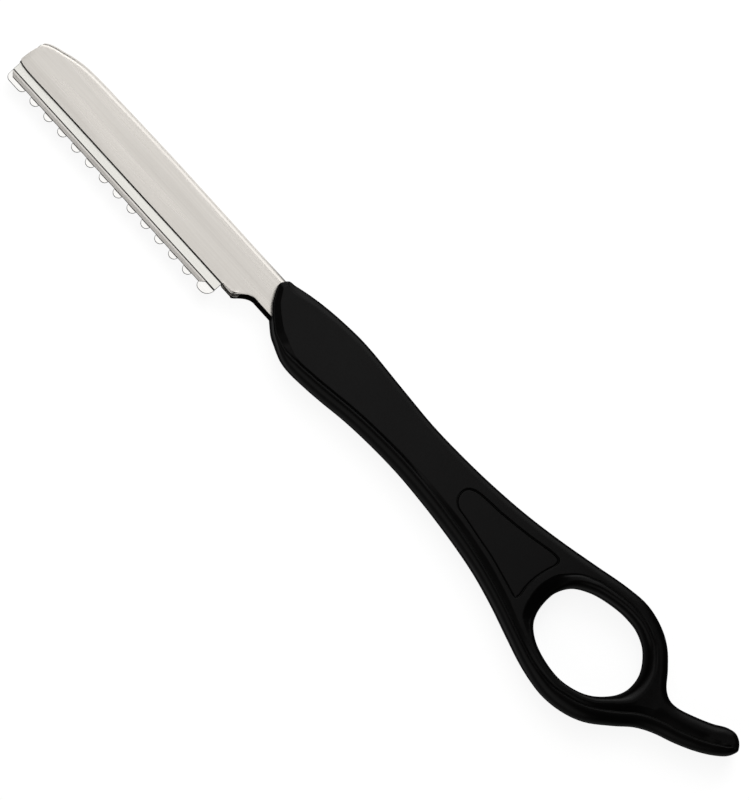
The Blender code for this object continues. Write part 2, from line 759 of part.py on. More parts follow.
def stand_on_ground(root, items):
    """Moves the root so that the middle of the razor's footprint is at the origin."""
    bpy.context.view_layer.update()
    graph = bpy.context.evaluated_depsgraph_get()
    corners = []
    for item in items:
        evaluated = item.evaluated_get(graph)
        corners += [evaluated.matrix_world @ vertex.co for vertex in evaluated.data.vertices]
    low = [min(corner[axis] for corner in corners) for axis in range(3)]
    high = [max(corner[axis] for corner in corners) for axis in range(3)]
    root.location = (-(low[0] + high[0]) / 2, -(low[1] + high[1]) / 2, -low[2])


def main():
    clear_scene()
    parts = new_collection("styling_razor")
    cutters = new_collection("cutters")
    root = bpy.data.objects.new("razor_frame", None)
    parts.objects.link(root)
    brushed = principled("brushed_steel", (0.60, 0.58, 0.55), 0.32, 1.0)
    polished = principled("polished_steel", (0.78, 0.77, 0.74), 0.18, 1.0)
    ground = principled("blade_steel", (0.46, 0.45, 0.44), 0.28, 1.0)
    plastic = principled("black_plastic", (0.012, 0.012, 0.012), 0.42, 0.0)
    holder = build_holder(parts, cutters, root, brushed)
    guard = build_guard(parts, cutters, root, polished)
    blade = build_blade(parts, guard, ground)
    handle = build_handle(parts, cutters, root, plastic)
    stand_on_ground(root, (holder, guard, blade, handle))


main()
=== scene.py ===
"""Looks of a hair-styling razor with a finger ring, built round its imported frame.

The forms are laid out in the razor's own layout, in millimetres: x from the holder's tip to the tail,
y up from the lower edge of the guard's front leaf, z up from the middle plane. place() turns them
into the frame's metres.
"""

import math

import bmesh
import bpy
import numpy as np
from mathutils import Matrix, Vector
from mathutils.geometry import delaunay_2d_cdt


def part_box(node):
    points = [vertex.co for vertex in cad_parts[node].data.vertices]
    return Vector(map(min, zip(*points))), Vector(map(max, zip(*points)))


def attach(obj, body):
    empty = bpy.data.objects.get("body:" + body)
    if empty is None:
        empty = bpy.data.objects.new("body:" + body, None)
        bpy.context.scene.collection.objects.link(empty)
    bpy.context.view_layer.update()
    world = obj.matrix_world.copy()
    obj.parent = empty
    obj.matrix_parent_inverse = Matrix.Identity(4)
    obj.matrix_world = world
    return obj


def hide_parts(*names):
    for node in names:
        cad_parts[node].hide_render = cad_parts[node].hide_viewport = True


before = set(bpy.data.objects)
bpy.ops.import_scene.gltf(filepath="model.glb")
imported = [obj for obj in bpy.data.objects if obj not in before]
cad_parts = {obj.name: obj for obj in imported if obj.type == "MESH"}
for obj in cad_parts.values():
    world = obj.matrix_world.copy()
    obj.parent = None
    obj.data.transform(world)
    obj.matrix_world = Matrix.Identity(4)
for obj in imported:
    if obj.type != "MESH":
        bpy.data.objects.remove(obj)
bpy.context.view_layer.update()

MM = 0.001
HANDLE_LOW, HANDLE_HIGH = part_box("handle")
HOLDER_LOW, HOLDER_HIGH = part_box("blade_holder")
GUARD_LOW, GUARD_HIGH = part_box("guard_comb")
BLADE_LOW, BLADE_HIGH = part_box("blade")

# Sizes are in millimetres from here on. The teeth reach this far below the guard's front leaf.
TOOTH_DEPTH = 2.33
ORIGIN = Vector((HOLDER_LOW.x, GUARD_LOW.y + TOOTH_DEPTH * MM, (HANDLE_LOW.z + HANDLE_HIGH.z) / 2))

# Handle: place and size, and how it thins towards the tail
HANDLE_START = (HANDLE_LOW.x - ORIGIN.x) / MM
HANDLE_LENGTH = (HANDLE_HIGH.x - HANDLE_LOW.x) / MM
HANDLE_BASE = (HANDLE_LOW.y - ORIGIN.y) / MM
HANDLE_WIDTH = (HANDLE_HIGH.y - HANDLE_LOW.y) / MM
BODY_HALF = (HANDLE_HIGH.z - HANDLE_LOW.z) / MM / 2
TAIL_HALF = 3.0
THINNING_START_SHARE = 0.61

# Handle's side: the parting line, the least upright band, and the rounded edge, whose rise is a share of its
# width. Where a groove runs beside it the edge is a rail, which rises higher and is squarer.
PARTING_DEPTH = 0.03
PARTING_HEIGHT = 0.06
WALL_BAND = 0.6
ROUND_WIDTH = 2.1
PLAIN_RISE_SHARE = 1.05
RAIL_RISE_SHARE = 1.35
PLAIN_SQUARENESS = 2.0
RAIL_SQUARENESS = 2.1

# Groove beside the rail and the bead, and the softness of corners, none of which takes more than a share of
# the runs that meet in it
GROOVE_WIDTH = 0.25
GROOVE_DEPTH = 0.35
GROOVE_LEAST_SHARE = 0.2
EDGE_SOFTNESS = 0.16
SOFTENED_SHARE = 0.45

# Room that the edges may take across the handle, and how fast it may change along the outline
ROOM_USED_SHARE = 0.9
ROOM_SHIFT_SHARE = 0.3
ROOM_EASE_SHARE = 0.7
ROOM_TOLERANCE = 1e-4
RIM_LAND_SHARE = 0.5
LAND_LEAST = 0.2

# Bead round the finger hole: its crest, rise and bend as shares of its width, height and fall
BEAD_CREST_SHARE = 0.62
PLAIN_CREST_SHARE = 0.92
CHAMFER_CREST_SHARE = 0.30
CHAMFER_SLOPE = 0.45
BEAD_RISE_SHARE = 1.6
BEND_SHARE = 0.63
BEND_DEPTH_SHARE = 0.25
BEND_DROP_SHARE = 0.37
BEAD_LAND = EDGE_SOFTNESS * 0.5

# Recessed panel: its depth, its lip, and the groove at its foot with the insets of the groove's corners
PANEL_DEPTH = 0.35
PANEL_LIP = 0.16
PANEL_GROOVE = 0.30
PANEL_GROOVE_DEPTH = 0.22
PANEL_GROOVE_SHARES = (0.35, 0.9, 1.6, 2.2)

# Lengths that nothing is divided by less than
LEAST_LENGTH = 1e-9
LEAST_SPAN = 1e-6

# Steps of curves and rounds, the even points on the flat faces, and the sharpest angle that is shaded smooth
RIM_STEPS = 5
HOLE_STEPS = 9
PANEL_STEPS = 6
WALL_STEPS = 12
BEAD_STEPS = 10
CORNER_STEPS = 4
LIP_STEPS = 3
FILL_PITCH = 1.6
FILL_ROW_SHARE = 0.866
FILL_CLEAR_SHARE = 0.55
FILL_TOLERANCE = 1e-7
HANDLE_MERGE = 0.002
SHARP_ANGLE = 50

# Guard and its teeth
GUARD_START = (GUARD_LOW.x - ORIGIN.x) / MM
GUARD_LENGTH = (GUARD_HIGH.x - GUARD_LOW.x) / MM
GUARD_END = GUARD_START + GUARD_LENGTH
GUARD_SHEET = 0.4
GUARD_OUTER = (GUARD_HIGH.z - GUARD_LOW.z) / MM / 2
GUARD_BACK = (GUARD_HIGH.y - ORIGIN.y) / MM
GUARD_SOFTNESS = 0.07
GUARD_FOLD_STEPS = 12
TOOTH_PITCH = 4.5
TOOTH_WIDTH = 2.5
TOOTH_COUNT = 12
TOOTH_STEPS = 12
FRONT_TOOTH_END = 5.3
FIRST_TOOTH_GAP = 1.85
HEEL_TOOTH_FLAT = 0.45
HEEL_TOOTH_ROUND = 2.2
GAP_ROOT = 0.34
GAP_ROOT_ROUND = 0.3
GAP_ROOT_STEPS = 4
COMB_MARGIN = 2.0
COMB_REACH = 3.0
COMB_MERGE = 0.001
COMB_LEAST_STEP = 0.01
# Height of the toothed band whose steel is lightened as a painted reflection
COMB_REFLECTION_BAND = 0.5

# Blade: widths and half thicknesses of its honed edge and ground bevel, and the clip of its corners
BLADE_BACK = (BLADE_HIGH.y - ORIGIN.y) / MM
EDGE_HALF = 0.01
HONED_WIDTH = 0.12
HONED_HALF = 0.045
GROUND_WIDTH = 0.8
BLADE_CLIP = 1.0
CLIP_SPARE = 0.05

# Holder's sheet, and the rounds on the edges of both sheets
HOLDER_SHEET = 0.8
HOLDER_OUTER = (HOLDER_HIGH.z - HOLDER_LOW.z) / MM / 2
HOLDER_SPINE = (HOLDER_HIGH.y - ORIGIN.y) / MM
HOLDER_END = (HOLDER_HIGH.x - ORIGIN.x) / MM
HOLDER_SOFTNESS = 0.14
HOLDER_FOLD_STEPS = 16
BEVEL_ANGLE = 40
BEVEL_SEGMENTS = 3

# Material slots of the sheets' cut faces, whose near-black material also lays painted shade on the rounded
# edges and inside the holder's fold, and of the toothed band, whose lighter steel is a painted reflection
CUT_AND_SHADE_SLOT = 1
COMB_REFLECTION_SLOT = 2

# Handle outline. Each row: along, across, width of the rounded edge, width and height of the slope, groove.
# Along is a share of the handle's length and across of its width; the slope and the edge are in ROUND_WIDTH.
OUTLINE_SHARES = (
    (0.004, 0.623, 0.28, 0.20, 0.12, 0),
    (0.000, 0.579, 0.16, 0.32, 0.19, 0),
    (0.002, 0.546, 0.14, 0.50, 0.27, 0),
    (0.008, 0.495, 0.14, 0.58, 0.30, 0),
    (0.015, 0.447, 0.14, 0.62, 0.32, 0),
    (0.025, 0.402, 0.15, 0.66, 0.34, 0),
    (0.036, 0.360, 0.16, 0.72, 0.37, 0),
    (0.051, 0.308, 0.20, 0.78, 0.40, 0),
    (0.066, 0.276, 0.34, 0.70, 0.37, 0),
    (0.080, 0.246, 0.52, 0.48, 0.32, 1),
    (0.093, 0.228, 0.74, 0.26, 0.20, 1),
    (0.109, 0.221, 0.90, 0.15, 0.13, 1),
    (0.142, 0.230, 1.00, 0.14, 0.12, 1),
    (0.178, 0.250, 1.05, 0.14, 0.12, 1),
    (0.220, 0.280, 1.04, 0.14, 0.12, 1),
    (0.268, 0.300, 1.06, 0.14, 0.12, 1),
    (0.331, 0.310, 1.10, 0.17, 0.14, 1),
    (0.394, 0.300, 1.06, 0.38, 0.03, 1),
    (0.456, 0.277, 0.95, 0.57, 0.03, 1),
    (0.520, 0.238, 0.84, 0.60, 0.04, 1),
    (0.576, 0.179, 0.80, 0.56, 0.03, 1),
    (0.631, 0.103, 0.78, 0.42, 0.03, 1),
    (0.680, 0.036, 0.86, 0.32, 0.08, 1),
    (0.729, 0.000, 1.08, 0.24, 0.16, 1),
    (0.771, 0.025, 1.34, 0.24, 0.14, 1),
    (0.807, 0.096, 1.38, 0.32, 0.14, 1),
    (0.842, 0.234, 1.26, 0.60, 0.20, 1),
    (0.866, 0.343, 1.22, 0.75, 0.25, 1),
    (0.891, 0.415, 1.16, 0.75, 0.25, 1),
    (0.926, 0.483, 1.08, 0.62, 0.22, 1),
    (0.958, 0.561, 1.00, 0.50, 0.18, 1),
    (0.982, 0.641, 0.92, 0.35, 0.12, 1),
    (0.996, 0.710, 0.75, 0.14, 0.05, 1),
    (1.000, 0.766, 0.60, 0.10, 0.04, 0),
    (0.993, 0.815, 0.65, 0.06, 0.00, 0),
    (0.979, 0.847, 0.75, 0.06, 0.00, 0),
    (0.963, 0.831, 0.85, 0.06, 0.00, 0),
    (0.942, 0.770, 0.98, 0.06, 0.00, 0),
    (0.910, 0.697, 0.95, 0.06, 0.00, 0),
    (0.888, 0.658, 0.90, 0.06, 0.00, 0),
    (0.872, 0.654, 0.90, 0.06, 0.00, 0),
    (0.857, 0.687, 0.86, 0.06, 0.00, 0),
    (0.836, 0.791, 0.84, 0.06, 0.00, 0),
    (0.811, 0.895, 0.84, 0.06, 0.00, 0),
    (0.783, 0.964, 0.98, 0.06, 0.00, 0),
    (0.743, 1.000, 0.95, 0.06, 0.00, 0),
    (0.701, 0.976, 0.92, 0.06, 0.00, 0),
    (0.645, 0.913, 0.90, 0.06, 0.00, 0),
    (0.582, 0.844, 0.88, 0.06, 0.00, 0),
    (0.513, 0.783, 0.85, 0.06, 0.00, 0),
    (0.442, 0.743, 0.82, 0.06, 0.00, 0),
    (0.380, 0.723, 0.80, 0.06, 0.00, 0),
    (0.317, 0.716, 0.80, 0.06, 0.00, 0),
    (0.247, 0.731, 0.80, 0.06, 0.00, 0),
    (0.156, 0.752, 0.82, 0.06, 0.00, 0),
    (0.107, 0.738, 0.86, 0.06, 0.00, 0),
    (0.069, 0.715, 0.92, 0.06, 0.00, 0),
    (0.037, 0.684, 0.96, 0.06, 0.00, 0),
    (0.017, 0.656, 0.80, 0.08, 0.03, 0),
    (0.008, 0.643, 0.46, 0.12, 0.09, 0),
)

# Finger hole: its middle, and its outline with along, across, width of the bead round it (of ROUND_WIDTH) and
# shares of the bead's groove and chamfer
HOLE_CENTRE_SHARES = (0.724, 0.50)
HOLE_SHARES = (
    (0.817, 0.514, 1.25, 0.0, 0.0),
    (0.812, 0.634, 1.20, 0.0, 0.0),
    (0.791, 0.759, 1.05, 0.2, 0.0),
    (0.765, 0.828, 0.92, 0.7, 0.0),
    (0.736, 0.845, 0.90, 1.0, 0.0),
    (0.702, 0.823, 0.97, 1.0, 0.0),
    (0.671, 0.774, 1.05, 1.0, 0.0),
    (0.646, 0.692, 1.19, 0.8, 0.3),
    (0.634, 0.582, 1.50, 0.3, 1.0),
    (0.632, 0.476, 1.60, 0.1, 1.0),
    (0.637, 0.355, 1.50, 0.1, 1.0),
    (0.650, 0.263, 1.40, 0.0, 0.6),
    (0.671, 0.203, 1.30, 0.0, 0.0),
    (0.699, 0.166, 1.15, 0.0, 0.0),
    (0.728, 0.155, 1.05, 0.0, 0.0),
    (0.756, 0.178, 1.10, 0.0, 0.0),
    (0.781, 0.235, 1.15, 0.0, 0.0),
    (0.801, 0.326, 1.20, 0.0, 0.0),
    (0.813, 0.423, 1.25, 0.0, 0.0),
)

# Recessed panel beside the ring: along, across
PANEL_SHARES = (
    (0.436, 0.624),
    (0.492, 0.656),
    (0.541, 0.693),
    (0.587, 0.736),
    (0.599, 0.732),
    (0.603, 0.693),
    (0.599, 0.605),
    (0.596, 0.515),
    (0.596, 0.429),
    (0.599, 0.332),
    (0.596, 0.302),
    (0.569, 0.325),
    (0.527, 0.370),
    (0.492, 0.394),
    (0.456, 0.420),
    (0.436, 0.434),
    (0.425, 0.472),
    (0.421, 0.531),
    (0.424, 0.586),
)

# Tip of the holder: how far it leans and rolls over, and over what length
TIP_FADE = 10.0
TIP_LEAN = 1.25
TIP_LEAN_POWER = 2.2
TIP_STEPS = 4
ROLL_WIDTH = 1.8
ROLL_DROP = 0.10

# Tip's outline: along (of TIP_FADE), lower edge (of the mouth's height), spine (from the guard's back up)
TIP_SHARES = (
    (0.00, 1.25, 0.196),
    (0.04, 1.06, 0.288),
    (0.11, 0.96, 0.374),
    (0.22, 0.90, 0.463),
    (0.38, 0.87, 0.551),
    (0.60, 0.87, 0.678),
    (0.85, 0.88, 0.780),
    (1.15, 0.90, 0.863),
    (1.55, 0.92, 0.912),
    (2.10, 0.94, 0.935),
    (2.80, 0.95, 0.965),
    (4.00, 0.96, 1.000),
)

# Mouth: height of its lower edge, and rows on the way to the guard's end, with their share of that height
MOUTH = 2.1
MOUTH_ROWS = ((46.0, 0.98), (53.0, 1.0), (60.0, 1.0))

# Stop tab behind the guard, the start and end of its step down, and the crease pressed along it
TAB_WIDTH = 3.0
TAB_DROP = 0.15
TAB_STEP = (0.2, 0.35)
CREASE_DEPTH = 0.12
CREASE_HALF = 0.12
CREASE_HEIGHT = 0.15
CREASE_CLIMB = 0.45
CREASE_ENDS = (0.1, 0.3)

# Neck that narrows to the tang, the rear leaf's lower edge there, and the strip of its upper face inside the
# fold that takes the near-black cut material as painted shade
NECK_START = 68.9
NECK_LENGTH = 4.2
NECK_EASE = 1.8
NECK_SPARE = 0.6
NECK_LEAD_STEPS = 6
NECK_STEPS = 24
TANG_WIDTH_SHARE = 0.259
TANG_ROWS = (0.0, 2.0, 6.0)
REAR_DROP = 0.45
REAR_DROP_LENGTH = 0.9
REAR_LAG = 0.3
REAR_SHADE_STRIP = 0.3
FACES_UP = 0.5

# Points across the leaves, and the track rib pressed into the rear leaf
FRONT_LEAF_SHARES = (0.1, 0.3, 0.5, 0.75, 0.95)
REAR_LEAF_SHARES = (0.66, 0.33, 0.05, 0.0)
RIB_SHARES = ((0.0, 0.0), (0.15, 0.5), (0.3, 1.0), (0.5, 1.0), (0.7, 1.0), (0.85, 0.5), (1.0, 0.0))
RIB_WIDTH = 1.6
RIB_DEPTH = 0.45
RIB_START = 6.0
RIB_LEAD = 1.2
RIB_CLEARANCE = 0.1


def place(points):
    """Points in the razor's own layout, in millimetres, as points in the frame, in metres."""
    return [ORIGIN + Vector((float(x), float(y), float(z))) * MM for x, y, z in points]


def clamped(value):
    """The value, held between 0 and 1."""
    return min(max(value, 0.0), 1.0)


def eased(share):
    """A share from 0 to 1 with a soft start and a soft end."""
    return share * share * (3.0 - 2.0 * share)


def new_object(name, data):
    """An object with this data, in the scene."""
    item = bpy.data.objects.new(name, data)
    bpy.context.scene.collection.objects.link(item)
    return item


def add_piece(name, mesh, materials, body, node):
    """Puts a finished mesh on its body, in the place of its CAD node."""
    piece = new_object(name, mesh)
    kept = [face.material_index for face in mesh.polygons]
    mesh.materials.clear()
    for material in materials:
        mesh.materials.append(material)
    mesh.polygons.foreach_set("material_index", kept)
    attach(piece, body)
    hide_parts(node)


def spline_loop(rows, steps):
    """A closed centripetal curve through the first two columns; the others ease from row to row."""
    rows = np.array(rows, float)
    count = len(rows)
    loop = []
    for i in range(count):
        p = [rows[(i + k) % count, :2] for k in (-1, 0, 1, 2)]
        t = [0.0]
        for first, second in zip(p, p[1:]):
            t.append(t[-1] + math.sqrt(np.linalg.norm(second - first)))
        for step in range(steps):
            share = step / steps
            u = t[1] + (t[2] - t[1]) * share
            a = [(p[k] * (t[k + 1] - u) + p[k + 1] * (u - t[k])) / (t[k + 1] - t[k]) for k in range(3)]
            b = [(a[k] * (t[k + 2] - u) + a[k + 1] * (u - t[k])) / (t[k + 2] - t[k]) for k in range(2)]
            c = (b[0] * (t[2] - u) + b[1] * (u - t[1])) / (t[2] - t[1])
            ease = eased(share)
            others = rows[i, 2:] * (1.0 - ease) + rows[(i + 1) % count, 2:] * ease
            loop.append(np.concatenate((c, others)))
    return np.array(loop)


def spline_open(rows, steps):
    """An open smooth curve through the rows."""
    rows = np.array(rows, float)
    result = []
    for i in range(len(rows) - 1):
        before = rows[max(i - 1, 0)]
        start, end = rows[i], rows[i + 1]
        after = rows[min(i + 2, len(rows) - 1)]
        span = end[0] - start[0]
        slope_in = (end - before) / max(end[0] - before[0], LEAST_SPAN) * span
        slope_out = (after - start) / max(after[0] - start[0], LEAST_SPAN) * span
        for step in range(steps):
            t = step / steps
            result.append((2 * t ** 3 - 3 * t ** 2 + 1) * start + (t ** 3 - 2 * t ** 2 + t) * slope_in
                          + (-2 * t ** 3 + 3 * t ** 2) * end + (t ** 3 - t ** 2) * slope_out)
    result.append(rows[-1])
    return result


def left_normals(loop):
    """Unit normals on the left of a closed path."""
    along = np.roll(loop[:, :2], -1, axis=0) - np.roll(loop[:, :2], 1, axis=0)
    normals = np.stack((-along[:, 1], along[:, 0]), axis=1)
    return normals / np.linalg.norm(normals, axis=1, keepdims=True)


def inner_room(loop, normals):
    """Radius of the largest circle inside the outline that touches it at each point, evened out."""
    away = loop[None, :, :2] - loop[:, None, :2]
    ahead = (away * normals[:, None, :]).sum(axis=2)
    squares = (away * away).sum(axis=2)
    radii = squares / (2.0 * np.maximum(ahead, ROOM_TOLERANCE))
    radii = np.where(ahead > ROOM_TOLERANCE, radii, HANDLE_LENGTH)
    rooms = radii.min(axis=1)
    return (rooms[None, :] + ROOM_EASE_SHARE * np.sqrt(squares)).min(axis=1)


def nearest(points, loop):
    """Shortest distance from each point to a closed path of straight runs."""
    runs = np.roll(loop, -1, axis=0) - loop
    lengths = (runs * runs).sum(axis=1)
    gaps = points[:, None, :] - loop[None, :, :]
    shares = np.clip((gaps * runs[None]).sum(axis=2) / lengths, 0.0, 1.0)
    return np.linalg.norm(gaps - shares[..., None] * runs[None], axis=2).min(axis=1)


def inside(points, loop):
    """Which points lie inside a closed path."""
    x, y = points[:, 0, None], points[:, 1, None]
    x1, y1 = loop[None, :, 0], loop[None, :, 1]
    x2, y2 = np.roll(loop[:, 0], -1)[None], np.roll(loop[:, 1], -1)[None]
    crosses = ((y1 > y) != (y2 > y)) & (x < (x2 - x1) * (y - y1) / np.where(y2 == y1, 1.0, y2 - y1) + x1)
    return crosses.sum(axis=1) % 2 == 1


def within(points, loops):
    """Which points lie inside the first loop and outside the others."""
    keep = inside(points, loops[0])
    for loop in loops[1:]:
        keep &= ~inside(points, loop)
    return keep


def soften(points, radius, steps):
    """Rounds the inner corners of an open path in (inset, height)."""
    points = [np.array(p, float) for p in points]
    result = [points[0]]
    for before, corner, after in zip(points, points[1:], points[2:]):
        back, ahead = before - corner, after - corner
        back_length, ahead_length = np.linalg.norm(back), np.linalg.norm(ahead)
        reach = min(radius, back_length * SOFTENED_SHARE, ahead_length * SOFTENED_SHARE)
        start = corner + back / max(back_length, LEAST_LENGTH) * reach
        end = corner + ahead / max(ahead_length, LEAST_LENGTH) * reach
        for step in range(steps + 1):
            share = step / steps
            result.append(start * (1 - share) ** 2 + corner * 2 * share * (1 - share) + end * share ** 2)
    result.append(points[-1])
    return result


def half_thickness(x):
    """Half the handle's thickness at a place along it, counted from its nose."""
    start = THINNING_START_SHARE * HANDLE_LENGTH
    return BODY_HALF - (BODY_HALF - TAIL_HALF) * eased(clamped((x - start) / (HANDLE_LENGTH - start)))


def rounded_wall(width, rise, top, steps, squareness=PLAIN_SQUARENESS):
    """Inset and height of the side wall with its parting line, and of the round above it, up to the top.

    The round is a quarter of an ellipse, or of a squarer curve where squareness is over 2.
    """
    rise = min(rise, top - WALL_BAND)
    points = [(PARTING_DEPTH, 0.0), (0.0, PARTING_HEIGHT)]
    for step in range(steps + 1):
        angle = math.pi / 2 * step / steps
        along, up = math.cos(angle) ** (2.0 / squareness), math.sin(angle) ** (2.0 / squareness)
        points.append((width * (1.0 - along), top - rise + rise * up))
    return points


def with_edge(wall, edge):
    """The wall with the edge's points after it, and soft corners between them."""
    return wall[:-2] + soften(wall[-2:] + edge, EDGE_SOFTNESS, CORNER_STEPS)


def rim_section(width, slope, climb, groove, top, room):
    """Inset and height from the parting line to just inside the flat face."""
    flank = GROOVE_WIDTH * max(groove, GROOVE_LEAST_SHARE)
    fit = min((room * (ROOM_USED_SHARE + ROOM_SHIFT_SHARE * groove) - flank) / (width + slope), 1.0)
    width *= fit
    slope *= fit
    crown = top - climb * fit
    rise = width * (PLAIN_RISE_SHARE + (RAIL_RISE_SHARE - PLAIN_RISE_SHARE) * groove)
    squareness = PLAIN_SQUARENESS + (RAIL_SQUARENESS - PLAIN_SQUARENESS) * groove
    wall = rounded_wall(width, rise, crown, WALL_STEPS, squareness)
    foot = width + flank + slope
    land = min(EDGE_SOFTNESS, max(room - width - flank - slope, 0.0) * RIM_LAND_SHARE)
    return with_edge(wall, [(width + flank, crown - GROOVE_DEPTH * groove), (foot, top), (foot + land, top)])


def bead_section(width, groove, chamfer, top):
    """Inset and height from the hole's parting line over the bead to just inside the flat face."""
    crest = width * (PLAIN_CREST_SHARE + (BEAD_CREST_SHARE - PLAIN_CREST_SHARE) * groove)
    crest += (width * CHAMFER_CREST_SHARE - crest) * chamfer
    drop = (width - crest) * CHAMFER_SLOPE * chamfer
    depth = GROOVE_DEPTH * groove
    wall = rounded_wall(crest, crest * BEAD_RISE_SHARE, top - drop, BEAD_STEPS)
    bend = (crest + (width - crest) * BEND_SHARE, top - depth * BEND_DEPTH_SHARE - drop * BEND_DROP_SHARE)
    foot = width + GROOVE_WIDTH
    return with_edge(wall, [bend, (width, top - depth), (foot, top), (foot + BEAD_LAND, top)])


def panel_section(room):
    """Inset and height from just outside the panel's lip, over the groove at its foot, to its floor."""
    floor = BODY_HALF - PANEL_DEPTH
    foot = floor - PANEL_GROOVE_DEPTH
    fit = min(room * ROOM_USED_SHARE / (PANEL_GROOVE * PANEL_GROOVE_SHARES[-1]), 1.0)
    points = [(-PANEL_LIP, BODY_HALF), (0.0, BODY_HALF)]
    for share, height in zip(PANEL_GROOVE_SHARES, (foot, foot, floor, floor)):
        points.append((PANEL_GROOVE * share * fit, height))
    return soften(points, PANEL_LIP, LIP_STEPS)


def loft(points, faces, loop, normals, sections, flipped):
    """Rows of points round a closed path, one section at each place; gives the last row's indices."""
    count = len(loop)
    height = len(sections[0])
    first = len(points)
    for row, normal, section in zip(loop, normals, sections):
        for inset, z in section:
            points.append((row[0] + normal[0] * inset, row[1] + normal[1] * inset, z))
    for i in range(count):
        here = first + i * height
        there = first + (i + 1) % count * height
        for k in range(height - 1):
            face = (here + k, there + k, there + k + 1, here + k + 1)
            faces.append(face[::-1] if flipped else face)
    return [first + i * height + height - 1 for i in range(count)]


def fill_flat(points, faces, outer, holes, level):
    """Even triangles between an outer loop and the holes in it, at a height that level() gives."""
    loops = [outer] + holes
    places = [np.array([points[i][:2] for i in loop]) for loop in loops]
    low = places[0].min(axis=0)
    high = places[0].max(axis=0)
    grid = []
    rows = int((high[1] - low[1]) / (FILL_PITCH * FILL_ROW_SHARE)) + 1
    for j in range(rows):
        shift = FILL_PITCH / 2 if j % 2 else 0.0
        for i in range(int((high[0] - low[0]) / FILL_PITCH) + 1):
            grid.append((low[0] + shift + FILL_PITCH * i, low[1] + FILL_PITCH * FILL_ROW_SHARE * j))
    grid = np.array(grid)
    grid = grid[within(grid, places)]
    for loop in places:
        grid = grid[nearest(grid, loop) > FILL_PITCH * FILL_CLEAR_SHARE]
    order = [i for loop in loops for i in loop]
    edges = []
    start = 0
    for loop in loops:
        edges += [(start + i, start + (i + 1) % len(loop)) for i in range(len(loop))]
        start += len(loop)
    flat = [Vector(points[i][:2]) for i in order] + [Vector(p) for p in grid]
    for x, y in grid:
        order.append(len(points))
        points.append((x, y, level(x)))
    _, _, made, groups, _, _ = delaunay_2d_cdt(flat, edges, [], 0, FILL_TOLERANCE)
    sources = [min(group) if group else None for group in groups]
    triangles = [tuple(sources[i] for i in face) for face in made]
    corners = np.array([[flat[i][:] for i in face] for face in triangles])
    for kept, face, corner in zip(within(corners.mean(axis=1), places), triangles, corners):
        if kept:
            side = np.cross(corner[1] - corner[0], corner[2] - corner[0])
            face = face if side > 0 else face[::-1]
            faces.append(tuple(order[i] for i in face))


def sized(rows):
    """Shares of the handle turned into millimetres."""
    scales = (HANDLE_LENGTH, HANDLE_WIDTH, ROUND_WIDTH, ROUND_WIDTH, ROUND_WIDTH, 1.0)
    return [[share * scale for share, scale in zip(row, scales)] for row in rows]


def handle_mesh():
    """The moulded handle: lofted rim and bead, lipped panel and flat faces, mirrored at the parting line."""
    points = []
    faces = []
    rim = spline_loop(sized(OUTLINE_SHARES), RIM_STEPS)
    hole_rows = [sizes[:3] + list(row[3:]) for sizes, row in zip(sized(HOLE_SHARES), HOLE_SHARES)]
    hole = spline_loop(hole_rows, HOLE_STEPS)
    panel = spline_loop(sized(PANEL_SHARES), PANEL_STEPS)[::-1]
    normals = left_normals(rim)
    sections = [rim_section(*row[2:6], half_thickness(row[0]), room)
                for row, room in zip(rim, inner_room(rim, normals))]
    rim_top = loft(points, faces, rim, normals, sections, False)
    land_edge = np.array([points[i][:2] for i in rim_top])
    rooms = nearest(hole[:, :2], land_edge) - GROOVE_WIDTH - LAND_LEAST
    sections = [bead_section(min(row[2], room), row[3], row[4], half_thickness(row[0]))
                for row, room in zip(hole, rooms)]
    hole_top = loft(points, faces, hole, -left_normals(hole), sections, True)
    normals = left_normals(panel)
    sections = [panel_section(room) for room in inner_room(panel, normals)]
    first = len(points)
    panel_in = loft(points, faces, panel, normals, sections, False)
    panel_out = [first + i * len(sections[0]) for i in range(len(panel))]
    fill_flat(points, faces, rim_top, [hole_top, panel_out], half_thickness)
    fill_flat(points, faces, panel_in, [], lambda x: BODY_HALF - PANEL_DEPTH)
    points = [(x + HANDLE_START, y + HANDLE_BASE, z) for x, y, z in points]
    count = len(points)
    points += [(x, y, -z) for x, y, z in points]
    faces += [tuple(i + count for i in face[::-1]) for face in faces]
    mesh = bpy.data.meshes.new("handle_moulding")
    mesh.from_pydata(place(points), [], faces)
    turn_outwards(mesh, HANDLE_MERGE * MM)
    smooth(mesh)
    return mesh


def turn_outwards(mesh, merge=0.0, shift=(0.0, 0.0, 0.0)):
    """Moves the mesh, merges points that lie nearer than merge, and turns the faces outwards."""
    cage = bmesh.new()
    cage.from_mesh(mesh)
    cage.transform(Matrix.Translation(shift))
    if merge > 0.0:
        bmesh.ops.remove_doubles(cage, verts=cage.verts, dist=merge)
    bmesh.ops.recalc_face_normals(cage, faces=cage.faces)
    cage.to_mesh(mesh)
    cage.free()


def smooth(mesh):
    """Smooth shading that stops at the sharp edges."""
    mesh.shade_smooth()
    mesh.set_sharp_from_angle(angle=math.radians(SHARP_ANGLE))


def arc(centre, radius, start, end, steps):
    """Points of an arc between two angles in degrees, ends included."""
    points = []
    for step in range(steps + 1):
        angle = math.radians(start + (end - start) * step / steps)
        points.append((centre[0] + radius * math.cos(angle), centre[1] + radius * math.sin(angle)))
    return points


def strip(name, rows):
    """An open surface through rows of points, in the frame's metres."""
    points = [point for row in rows for point in row]
    width = len(rows[0])
    faces = []
    for i in range(len(rows) - 1):
        for j in range(width - 1):
            corner = i * width + j
            faces.append((corner, corner + 1, corner + width + 1, corner + width))
    mesh = bpy.data.meshes.new(name)
    mesh.from_pydata(place(points), [], faces)
    mesh.update()
    return mesh


